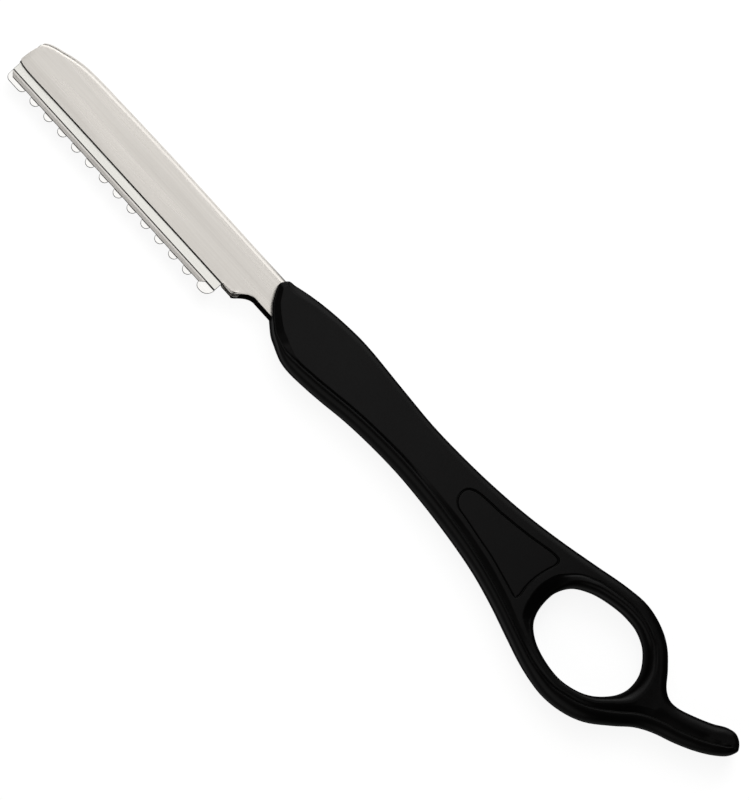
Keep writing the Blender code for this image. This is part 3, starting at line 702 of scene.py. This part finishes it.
def folded_sheet(name, rows, thickness):
    """An object with a sheet of this thickness through the rows; its cut faces take the second material."""
    item = new_object(name, strip(name, rows))
    item.data.materials.append(None)
    item.data.materials.append(None)
    sheet = item.modifiers.new("sheet", "SOLIDIFY")
    sheet.thickness = thickness * MM
    sheet.offset = 0.0
    sheet.use_even_offset = True
    sheet.use_rim = True
    sheet.material_offset_rim = CUT_AND_SHADE_SLOT
    return item


def soften_edges(item, width):
    """Small rounds on the sharp edges."""
    bevel = item.modifiers.new("edges", "BEVEL")
    bevel.width = width * MM
    bevel.segments = BEVEL_SEGMENTS
    bevel.limit_method = "ANGLE"
    bevel.angle_limit = math.radians(BEVEL_ANGLE)
    bevel.use_clamp_overlap = True
    bevel.miter_outer = "MITER_ARC"
    # The rounds take the near-black cut material: painted shade that outlines the sheet's edges.
    bevel.material = CUT_AND_SHADE_SLOT


def applied(item):
    """A new mesh of the object as its modifiers leave it."""
    bpy.context.view_layer.update()
    return bpy.data.meshes.new_from_object(item.evaluated_get(bpy.context.evaluated_depsgraph_get()))


def finished(item, name):
    """The object's mesh with its modifiers applied; the object and its old mesh are removed."""
    mesh = applied(item)
    mesh.name = name
    old = item.data
    bpy.data.objects.remove(item, do_unlink=True)
    bpy.data.meshes.remove(old)
    return mesh


def shaded(mesh):
    """The mesh with smooth rounds, and normals that keep its flat faces flat."""
    smooth(mesh)
    name = mesh.name
    item = new_object(name, mesh)
    even = item.modifiers.new("even", "WEIGHTED_NORMAL")
    even.keep_sharp = True
    even.weight = 100
    return finished(item, name)


def rib_press(x):
    """Share of the rib's depth at a place along the holder."""
    return eased(clamped(min(x - RIB_START, GUARD_END - x) / RIB_LEAD))


def tip_spine(share):
    """Height of the tip's spine line, from the guard's back at 0 to the full spine at 1."""
    return GUARD_BACK + (HOLDER_SPINE - GUARD_BACK) * share


def holder_stations():
    """Rows along the folded sheet: place, lower edge of the front leaf, of the rear leaf, and spine."""
    tip = [(along * TIP_FADE, low * MOUTH, tip_spine(share)) for along, low, share in TIP_SHARES]
    stations = [(x, low, low, spine) for x, low, spine in spline_open(tip, TIP_STEPS)]
    step_start, step_end = GUARD_END + TAB_STEP[0], GUARD_END + TAB_STEP[1]
    lows = [(x, share * MOUTH) for x, share in MOUTH_ROWS]
    lows += [(x, MOUTH) for x in (GUARD_END - RIB_LEAD, GUARD_END - RIB_LEAD / 2, GUARD_END, step_start)]
    for step in range(NECK_LEAD_STEPS + 1):
        lows.append((step_end + (NECK_START - step_end) * step / NECK_LEAD_STEPS, MOUTH - TAB_DROP))
    stations += [(x, low, low, HOLDER_SPINE) for x, low in lows]
    for step in range(1, NECK_STEPS + 1):
        x = NECK_START + (NECK_LENGTH + NECK_SPARE) * step / NECK_STEPS
        stations.append((x, neck_low(x), neck_low(x - REAR_LAG) - rear_drop(x), HOLDER_SPINE))
    tang_low = neck_low(HANDLE_START)
    for x in [HANDLE_START + row for row in TANG_ROWS] + [HOLDER_END]:
        stations.append((x, tang_low, tang_low - rear_drop(x), HOLDER_SPINE))
    return stations


def neck_low(x):
    """Lower edge of the front leaf along the neck."""
    share = clamped((x - NECK_START) / NECK_LENGTH)
    tang_low = HOLDER_SPINE - TANG_WIDTH_SHARE * HANDLE_WIDTH
    return MOUTH - TAB_DROP + (tang_low - MOUTH + TAB_DROP) * (1.0 - (1.0 - share) ** NECK_EASE)


def rear_drop(x):
    """How far the rear leaf's edge lies below the front leaf's along the neck."""
    return REAR_DROP * clamped((x - NECK_START) / REAR_DROP_LENGTH)


def holder_mesh():
    """The folded sheet: rolled-over tip, spine fold, pressed track rib, stepped neck and tang."""
    middle = HOLDER_OUTER - HOLDER_SHEET / 2
    tip_corner = TIP_SHARES[0][1] * MOUTH
    tip_span = tip_spine(TIP_SHARES[0][2]) - tip_corner
    rows = []
    for x, low, rear_low, spine in holder_stations():
        centre = spine - HOLDER_SHEET / 2 - middle
        crease = low + CREASE_HEIGHT + CREASE_CLIMB * clamped((x - GUARD_END) / TAB_WIDTH)
        pressed = CREASE_DEPTH if GUARD_END + CREASE_ENDS[0] < x < NECK_START + CREASE_ENDS[1] else 0.0
        section = [(low, middle), (crease - CREASE_HALF, middle), (crease, middle - pressed),
                   (crease + CREASE_HALF, middle)]
        section += [(crease + (centre - crease) * share, middle) for share in FRONT_LEAF_SHARES]
        section += arc((centre, 0.0), middle, 90, -90, HOLDER_FOLD_STEPS)
        rib_top = min(GUARD_BACK + RIB_CLEARANCE + RIB_WIDTH, centre - RIB_CLEARANCE)
        for down, depth in RIB_SHARES:
            section.append((rib_top - RIB_WIDTH * down, RIB_DEPTH * depth * rib_press(x) - middle))
        rib_low = rib_top - RIB_WIDTH
        section += [(rear_low + (rib_low - rear_low) * share, -middle) for share in REAR_LEAF_SHARES]
        fade = max(1.0 - x / TIP_FADE, 0.0)
        roll = max(1.0 - x / ROLL_WIDTH, 0.0) ** 2 * ROLL_DROP
        row = []
        for y, z in section:
            lean = TIP_LEAN * (max(y - tip_corner, 0.0) / tip_span) ** TIP_LEAN_POWER
            row.append((x + lean * fade, y, z - math.copysign(roll, z) * (abs(z) / middle)))
        rows.append(row)
    item = folded_sheet("holder_strip", rows, HOLDER_SHEET)
    soften_edges(item, HOLDER_SOFTNESS)
    mesh = finished(item, "holder_sheet")
    # The rear leaf's inner faces along the neck take the near-black cut material: painted shade inside the
    # fold.
    for face in mesh.polygons:
        x = (face.center.x - ORIGIN.x) / MM
        y = (face.center.y - ORIGIN.y) / MM
        inner = face.center.z < ORIGIN.z and face.normal.z > FACES_UP
        if inner and x > NECK_START and y < neck_low(x) + REAR_SHADE_STRIP:
            face.material_index = CUT_AND_SHADE_SLOT
    return shaded(mesh)


def comb_line():
    """The toothed lower line of the guard's rear leaf, from the tip to the heel."""
    small = TOOTH_WIDTH / 2
    teeth = [(0.0, FRONT_TOOTH_END, small)]
    for number in range(TOOTH_COUNT):
        centre = FRONT_TOOTH_END + FIRST_TOOTH_GAP + small + TOOTH_PITCH * number
        teeth.append((centre - small, centre + small, small))
    heel_start = GUARD_LENGTH - small - HEEL_TOOTH_FLAT - HEEL_TOOTH_ROUND
    teeth.append((heel_start, GUARD_LENGTH, HEEL_TOOTH_ROUND))
    root = -GAP_ROOT - GAP_ROOT_ROUND
    line = []
    for number, (start, end, last_round) in enumerate(teeth):
        if number > 0:
            line += arc((start - GAP_ROOT_ROUND, root), GAP_ROOT_ROUND, 90, 0, GAP_ROOT_STEPS)
        line += arc((start + small, small - TOOTH_DEPTH), small, 180, 270, TOOTH_STEPS)
        line += arc((end - last_round, last_round - TOOTH_DEPTH), last_round, 270, 360, TOOTH_STEPS)
        if number < len(teeth) - 1:
            line += arc((end + GAP_ROOT_ROUND, root), GAP_ROOT_ROUND, 180, 90, GAP_ROOT_STEPS)
    clean = line[:1]
    for point in line[1:]:
        if math.dist(point, clean[-1]) > COMB_LEAST_STEP:
            clean.append(point)
    return clean


def comb_cutter():
    """An object that fills the room outside the toothed line, to cut the rear leaf with."""
    line = comb_line()
    low = -TOOTH_DEPTH - COMB_MARGIN
    far = GUARD_LENGTH + COMB_MARGIN
    outline = [(-COMB_MARGIN, low), (-COMB_MARGIN, line[0][1])] + line + [(far, line[-1][1]), (far, low)]
    curve = bpy.data.curves.new("comb_gaps", "CURVE")
    curve.dimensions = "2D"
    curve.fill_mode = "BOTH"
    curve.extrude = COMB_REACH * MM
    spline = curve.splines.new("POLY")
    spline.points.add(len(outline) - 1)
    for point, (x, y) in zip(spline.points, outline):
        point.co = ((GUARD_START + x) * MM + ORIGIN.x, y * MM + ORIGIN.y, 0.0, 1.0)
    spline.use_cyclic_u = True
    guide = new_object("comb_guide", curve)
    mesh = applied(guide)
    bpy.data.objects.remove(guide, do_unlink=True)
    turn_outwards(mesh, COMB_MERGE * MM, (0.0, 0.0, ORIGIN.z))
    mesh.materials.clear()
    return new_object("comb_cutter", mesh)


def guard_mesh():
    """The folded guard: plain front leaf, fold, and a rear leaf cut into round teeth."""
    middle = GUARD_OUTER - GUARD_SHEET / 2
    section = [(0.0, middle), (BLADE_BACK / 2, middle)]
    section += arc((BLADE_BACK, 0.0), middle, 90, -90, GUARD_FOLD_STEPS)
    section += [(BLADE_BACK / 2, -middle), (0.0, -middle), (-TOOTH_DEPTH, -middle)]
    rows = [[(GUARD_START + x, y, z) for y, z in section] for x in (0.0, GUARD_LENGTH / 2, GUARD_LENGTH)]
    item = folded_sheet("guard_strip", rows, GUARD_SHEET)
    cutter = comb_cutter()
    cut = item.modifiers.new("comb_gaps", "BOOLEAN")
    cut.operation = "DIFFERENCE"
    cut.solver = "EXACT"
    cut.object = cutter
    soften_edges(item, GUARD_SOFTNESS)
    mesh = finished(item, "guard_sheet")
    bpy.data.objects.remove(cutter, do_unlink=True)
    # The rear leaf's faces in the toothed band take the lighter steel: painted reflection.
    reflection_band_top = ORIGIN.y + COMB_REFLECTION_BAND * MM
    for face in mesh.polygons:
        if face.material_index != CUT_AND_SHADE_SLOT and face.center.z < ORIGIN.z and face.center.y < reflection_band_top:
            face.material_index = COMB_REFLECTION_SLOT
    return shaded(mesh)


def blade_mesh():
    """The blade: flat body, ground bevel, honed edge and clipped corners."""
    low = (BLADE_LOW.y - ORIGIN.y) / MM
    start = (BLADE_LOW.x - ORIGIN.x) / MM
    end = (BLADE_HIGH.x - ORIGIN.x) / MM
    half = (BLADE_HIGH.z - BLADE_LOW.z) / MM / 2
    levels = [(low, EDGE_HALF), (low + HONED_WIDTH, HONED_HALF), (low + GROUND_WIDTH, half),
              (low + BLADE_CLIP + CLIP_SPARE, half), (BLADE_BACK, half)]
    points = []
    faces = []
    for y, z in levels:
        cut = max(BLADE_CLIP - (y - low), 0.0)
        points += [(start + cut, y, z), (end - cut, y, z), (end - cut, y, -z), (start + cut, y, -z)]
    for i in range(len(levels) - 1):
        a, b = i * 4, i * 4 + 4
        for k in range(4):
            n = (k + 1) % 4
            faces.append((a + k, a + n, b + n, b + k))
    faces.append((3, 2, 1, 0))
    last = len(points) - 4
    faces.append((last, last + 1, last + 2, last + 3))
    mesh = bpy.data.meshes.new("blade_strip")
    mesh.from_pydata(place(points), [], faces)
    turn_outwards(mesh)
    return mesh


# The part of a noise's range that spread() stretches over the whole of its own
NOISE_RANGE = (0.3, 0.7)


class Nodes:
    """Short calls for building the nodes of a material or of the world."""

    def __init__(self, owner, place_on="Object"):
        owner.use_nodes = True
        self.owner = owner
        self.tree = owner.node_tree
        self.place = self.add("ShaderNodeTexCoord").outputs[place_on]

    def add(self, kind, inputs=None, **settings):
        node = self.tree.nodes.new(kind)
        for name, value in settings.items():
            setattr(node, name, value)
        for name, value in (inputs or {}).items():
            self.feed(node.inputs[name], value)
        return node

    def feed(self, target, value):
        """Gives an input a value, or a link where the value is a node's output."""
        if isinstance(value, bpy.types.NodeSocket):
            self.tree.links.new(value, target)
        else:
            target.default_value = value

    def math(self, operation, first, second):
        return self.add("ShaderNodeMath", {0: first, 1: second}, operation=operation).outputs[0]

    def vector(self, operation, *inputs):
        return self.add("ShaderNodeVectorMath", dict(enumerate(inputs)), operation=operation)

    def ramp(self, value, start, end, low, high, curve="SMOOTHSTEP"):
        inputs = {"Value": value, "From Min": start, "From Max": end, "To Min": low, "To Max": high}
        return self.add("ShaderNodeMapRange", inputs, interpolation_type=curve).outputs["Result"]

    def spread(self, noise, low, high):
        return self.ramp(noise, *NOISE_RANGE, low, high, "LINEAR")

    def stretched(self, scale):
        return self.add("ShaderNodeMapping", {"Vector": self.place, "Scale": scale}).outputs["Vector"]

    def noise(self, scale, detail=3.0, roughness=0.5, vector=None):
        inputs = {"Vector": vector or self.place, "Scale": scale, "Detail": detail, "Roughness": roughness}
        return self.add("ShaderNodeTexNoise", inputs).outputs["Fac"]

    def blend(self, factor, first, second):
        inputs = {"Factor": factor, "A": (*first, 1.0), "B": (*second, 1.0)}
        return self.add("ShaderNodeMix", inputs, data_type="RGBA").outputs["Result"]

    def bump(self, height, distance, strength, **below):
        inputs = {"Height": height, "Distance": distance, "Strength": strength, **below}
        return self.add("ShaderNodeBump", inputs).outputs["Normal"]

    def shade(self, inputs):
        """Feeds the material's shader; gives the material."""
        for name, value in inputs.items():
            self.feed(self.tree.nodes["Principled BSDF"].inputs[name], value)
        return self.owner


# Plastic: colours, roughness, specular level, and scale and height in metres of its grain, waves and marks
PLASTIC_COLOURS = ((0.0020, 0.0018, 0.0018), (0.0030, 0.0027, 0.0027))
PLASTIC_ROUGHNESS = (0.29, 0.37)
PLASTIC_SPECULAR = 0.138
GRAIN_SCALE = 5200.0
GRAIN_HEIGHT = 0.000012
WAVE_SCALE = 160.0
WAVE_HEIGHT = 0.00004
MARK_SCALE = 90.0


def black_plastic():
    """Satin black moulded plastic with a fine eroded grain and faint handling marks."""
    n = Nodes(bpy.data.materials.new("black_plastic"))
    marks = n.noise(MARK_SCALE, detail=4.0, roughness=0.6)
    grain = n.noise(GRAIN_SCALE, detail=2.0, roughness=0.6)
    waves = n.bump(n.noise(WAVE_SCALE, detail=2.0), WAVE_HEIGHT, strength=0.5)
    return n.shade({
        "Base Color": n.blend(n.spread(marks, 0.0, 1.0), *PLASTIC_COLOURS),
        "Roughness": n.spread(marks, *PLASTIC_ROUGHNESS),
        "Specular IOR Level": PLASTIC_SPECULAR,
        "Normal": n.bump(grain, GRAIN_HEIGHT, strength=0.8, Normal=waves),
    })


# Steels: name, darker and lighter colour, roughness, depth of the brushing in metres, and its scale across
# and along the razor. BROAD_PATCHES is the scale of the patches in which the roughness changes.
STEELS = (
    ("brushed_steel", (0.65, 0.62, 0.58), (0.71, 0.68, 0.64), (0.24, 0.34), 0.000006, 2600.0, 45.0),
    ("polished_steel", (0.73, 0.72, 0.68), (0.79, 0.78, 0.74), (0.14, 0.22), 0.000002, 2600.0, 45.0),
    # The teeth's steel is the polished steel made lighter: painted reflection of the white surroundings.
    ("comb_painted_reflection", (0.88, 0.87, 0.85), (0.93, 0.92, 0.90), (0.14, 0.22), 0.000002, 2600.0, 45.0),
    ("blade_steel", (0.64, 0.615, 0.58), (0.74, 0.71, 0.675), (0.22, 0.32), 0.000004, 3600.0, 300.0),
)
BROAD_PATCHES = (14.0, 260.0, 260.0)


def steel(name, dark, light, rough, brush_depth, across, along):
    """Stainless steel with a lengthwise brush."""
    n = Nodes(bpy.data.materials.new(name))
    lines = n.noise(1.0, roughness=0.6, vector=n.stretched((along, across, across)))
    broad = n.noise(1.0, detail=2.0, vector=n.stretched(BROAD_PATCHES))
    return n.shade({
        "Base Color": n.blend(n.spread(lines, 0.0, 1.0), dark, light),
        "Metallic": 1.0,
        "Roughness": n.spread(broad, *rough),
        "Normal": n.bump(lines, brush_depth, strength=0.6),
    })


# Sheared edge of the sheet, darker than its own dullness as painted shade for dark outlines: colours,
# roughness, and scale and depth in metres of its torn grain
CUT_AND_SHADE_COLOURS = ((0.006, 0.005, 0.005), (0.02, 0.018, 0.016))
CUT_ROUGHNESS = (0.45, 0.65)
CUT_SCALE = 3000.0
CUT_DEPTH = 0.00002


def cut_edge_and_shade():
    """Dull sheared edge of the steel sheet, made near black as painted shade."""
    n = Nodes(bpy.data.materials.new("cut_edge_and_shade"))
    bite = n.noise(CUT_SCALE, roughness=0.6)
    return n.shade({
        "Base Color": n.blend(n.spread(bite, 0.0, 1.0), *CUT_AND_SHADE_COLOURS),
        "Metallic": 1.0,
        "Roughness": n.spread(bite, *CUT_ROUGHNESS),
        "Normal": n.bump(bite, CUT_DEPTH, strength=0.6),
    })


# The paper under the razor: grey that takes the shadow, glow that makes it show white, half width in metres
FLOOR_GREY = 0.34
FLOOR_GLOW = 0.892
FLOOR_REACH = 3.0

# Painted reflection: what reflections see in place of the paper, which glows for them, on the cutting side
# and
# on the spine side: under the steel, and under the handle, whose first value is for paper close by and is
# dark as painted shade. The far value stands there for paper further off, and the ring value, dark as painted
# shade, for what lies inside the finger ring.
STEEL_PAINTED_REFLECTION = (0.02, 1.15)
HANDLE_PAINTED_REFLECTION = (0.05, 0.03)
FAR_PAINTED_REFLECTION = 0.16
RING_PAINTED_REFLECTION = 0.07

# Where each goes over into the next, in metres: across the razor, along a ray, from steel to handle, and out
# from the middle of the ring. Past TAIL_START the line along the handle climbs by TAIL_CLIMB, like the tail.
STEEL_SIDES = (-0.004, 0.002)
HANDLE_SIDES = (-0.006, 0.004)
CLOSE_TO_FAR = (0.003, 0.008)
STEEL_TO_HANDLE = (-0.044, -0.030)
RING_EDGE = (0.009, 0.013)
TAIL_START = 0.09
TAIL_CLIMB = 0.55


def floor_material():
    """White sweep: shows white, keeps a soft shadow, and glows to reflections with painted reflection
    brightnesses.
    """
    n = Nodes(bpy.data.materials.new("sweep"))
    n.tree.nodes.remove(n.tree.nodes["Principled BSDF"])
    x, y, _ = n.add("ShaderNodeSeparateXYZ", {0: n.place}).outputs
    path = n.add("ShaderNodeLightPath").outputs

    # Painted reflection and painted shade: the brightness that reflections see in place of the paper, set by
    # place.
    painted_reflection_by_steel = n.ramp(y, *STEEL_SIDES, *STEEL_PAINTED_REFLECTION)
    painted_reflection_cutting_side = n.ramp(path["Ray Length"], *CLOSE_TO_FAR, HANDLE_PAINTED_REFLECTION[0], FAR_PAINTED_REFLECTION)
    past = n.math("MAXIMUM", n.math("SUBTRACT", x, TAIL_START), 0.0)
    level = n.math("SUBTRACT", y, n.math("MULTIPLY", past, TAIL_CLIMB))
    painted_reflection_by_handle = n.ramp(level, *HANDLE_SIDES, painted_reflection_cutting_side, HANDLE_PAINTED_REFLECTION[1])
    paper = n.ramp(x, *STEEL_TO_HANDLE, painted_reflection_by_steel, painted_reflection_by_handle)
    centre = place([(HOLE_CENTRE_SHARES[0] * HANDLE_LENGTH + HANDLE_START,
                     HOLE_CENTRE_SHARES[1] * HANDLE_WIDTH + HANDLE_BASE, 0.0)])[0]
    away = n.vector("SUBTRACT", n.place, (centre.x, centre.y, 0.0)).outputs["Vector"]
    distance = n.vector("LENGTH", away).outputs["Value"]
    paper = n.ramp(distance, *RING_EDGE, RING_PAINTED_REFLECTION, paper)

    seen = n.math("MAXIMUM", path["Is Camera Ray"], path["Is Transmission Ray"])
    mirrored = path["Is Glossy Ray"]
    glow = n.math("ADD", n.math("MULTIPLY", seen, FLOOR_GLOW), n.math("MULTIPLY", mirrored, paper))
    grey = n.math("MULTIPLY", n.math("SUBTRACT", 1.0, mirrored), FLOOR_GREY)
    diffuse = n.add("ShaderNodeBsdfDiffuse", {"Color": grey}).outputs[0]
    emission = n.add("ShaderNodeEmission", {"Strength": glow}).outputs[0]
    total = n.add("ShaderNodeAddShader", {0: diffuse, 1: emission}).outputs[0]
    n.feed(n.tree.nodes["Material Output"].inputs["Surface"], total)
    return n.owner


# Soft patches of the dome: the direction of each, and its brightness against closeness to that direction.
# The tint warms them slightly.
DOME = (
    ((-0.35, 0.30, 0.88), ((0.0, 0.0), (0.60, 0.0), (0.78, 0.03), (0.90, 0.19), (1.0, 0.26))),
    ((0.05, -0.93, 0.36), ((0.0, 0.0), (0.76, 0.0), (0.84, 0.42), (0.92, 0.68), (1.0, 0.78))),
)
DOME_TINT = (1.0, 0.995, 0.98)


def make_world():
    """A dark dome with one soft patch overhead and one low on the cutting side; the camera sees it white."""
    world = bpy.data.worlds.new("studio")
    bpy.context.scene.world = world
    n = Nodes(world, "Generated")
    patches = []
    for way, stops in DOME:
        closeness = n.vector("DOT_PRODUCT", n.place, Vector(way).normalized()).outputs["Value"]
        patch = n.add("ShaderNodeValToRGB", {"Fac": closeness})
        patch.color_ramp.interpolation = "EASE"
        elements = patch.color_ramp.elements
        while len(elements) < len(stops):
            elements.new(0.5)
        for element, (position, level) in zip(elements, stops):
            element.position = position
            element.color = (*[level * tint for tint in DOME_TINT], 1.0)
        patches.append(patch.outputs["Color"])
    glow = n.vector("ADD", *patches).outputs["Vector"]
    seen = n.add("ShaderNodeLightPath").outputs["Is Camera Ray"]
    white = (1.0, 1.0, 1.0, 1.0)
    colour = n.add("ShaderNodeMix", {"Factor": seen, "A": glow, "B": white}, data_type="RGBA")
    n.feed(n.tree.nodes["Background"].inputs["Color"], colour.outputs["Result"])


# Soft boxes: name, place that it looks at, direction of the box from there, distance, size, watts
LAMPS = (
    ("key", (0.0, 0.0, 0.0), (-0.62, 0.55, 0.72), 0.9, (0.6, 0.6), 1.6),
    ("overhead", (-0.08, 0.0, 0.0), (0.0, 0.18, 0.98), 0.5, (0.28, 0.25), 0.19),
    ("spine_box", (-0.08, 0.0, 0.0), (0.0, 0.83, 0.56), 0.45, (0.25, 0.48), 0.51),
)


def add_lamp(name, target, direction, distance, size, watts):
    """A soft box that looks at a place on the razor."""
    light = bpy.data.lights.new(name, "AREA")
    light.shape = "RECTANGLE"
    light.size, light.size_y = size
    light.energy = watts
    lamp = new_object(name, light)
    way = Vector(direction).normalized()
    along = Vector((1.0, 0.0, 0.0))
    side = (along - way * along.dot(way)).normalized()
    turn = Matrix((side, way.cross(side), way)).transposed().to_4x4()
    lamp.matrix_world = Matrix.Translation(Vector(target) + way * distance) @ turn


# The photograph's view: its height in pixels, a pixel's size on the razor, how much of the razor's length
# runs right and how much down in it, and the lean towards the cutting side. VIEW_MIDDLE and the sensor are in
# millimetres, the distance and the clips in metres.
PHOTO_HEIGHT = 800
MM_PER_PIXEL = 0.21862
AXIS_RIGHT = 0.67230834
AXIS_DOWN = 0.74027123
LEAN = math.radians(13.0)
VIEW_MIDDLE = (106.88, 10.06, 0.0)
DISTANCE = 1.4
SENSOR = 24.0
CLIPS = (0.05, 20.0)


def make_camera():
    """Long-lens camera above the razor, leaning towards the cutting side, rolled as in the photograph."""
    data = bpy.data.cameras.new("camera")
    data.sensor_fit = "VERTICAL"
    data.sensor_height = SENSOR
    data.lens = DISTANCE * SENSOR / (PHOTO_HEIGHT * MM_PER_PIXEL * MM)
    data.clip_start, data.clip_end = CLIPS
    camera = new_object("camera", data)
    along = Vector((1.0, 0.0, 0.0))
    across = Vector((0.0, math.cos(LEAN), math.sin(LEAN)))
    towards = along.cross(across)
    right = along * AXIS_RIGHT + across * AXIS_DOWN
    up = across * AXIS_RIGHT - along * AXIS_DOWN
    target = place([VIEW_MIDDLE])[0]
    turn = Matrix((right, up, towards)).transposed().to_4x4()
    camera.matrix_world = Matrix.Translation(target + towards * DISTANCE) @ turn
    bpy.context.scene.camera = camera


def make_floor():
    """A wide sweep under the razor."""
    mesh = bpy.data.meshes.new("sweep")
    corners = [(x * FLOOR_REACH, y * FLOOR_REACH, 0.0) for x, y in ((-1, -1), (1, -1), (1, 1), (-1, 1))]
    mesh.from_pydata(corners, [], [(0, 1, 2, 3)])
    floor = new_object("sweep", mesh)
    mesh.materials.append(floor_material())


def main():
    """Builds the razor's pieces, the sweep, the light and the camera."""
    bpy.context.scene.view_settings.view_transform = "Standard"
    plastic = black_plastic()
    brushed, polished, comb, ground = [steel(*looks) for looks in STEELS]
    edge = cut_edge_and_shade()
    add_piece("handle_moulding", handle_mesh(), [plastic], "handle", "handle")
    add_piece("holder_sheet", holder_mesh(), [brushed, edge], "handle", "blade_holder")
    add_piece("guard_sheet", guard_mesh(), [polished, edge, comb], "guard", "guard_comb")
    add_piece("blade_strip", blade_mesh(), [ground], "blade", "blade")
    make_floor()
    make_world()
    for lamp in LAMPS:
        add_lamp(*lamp)
    make_camera()


main()
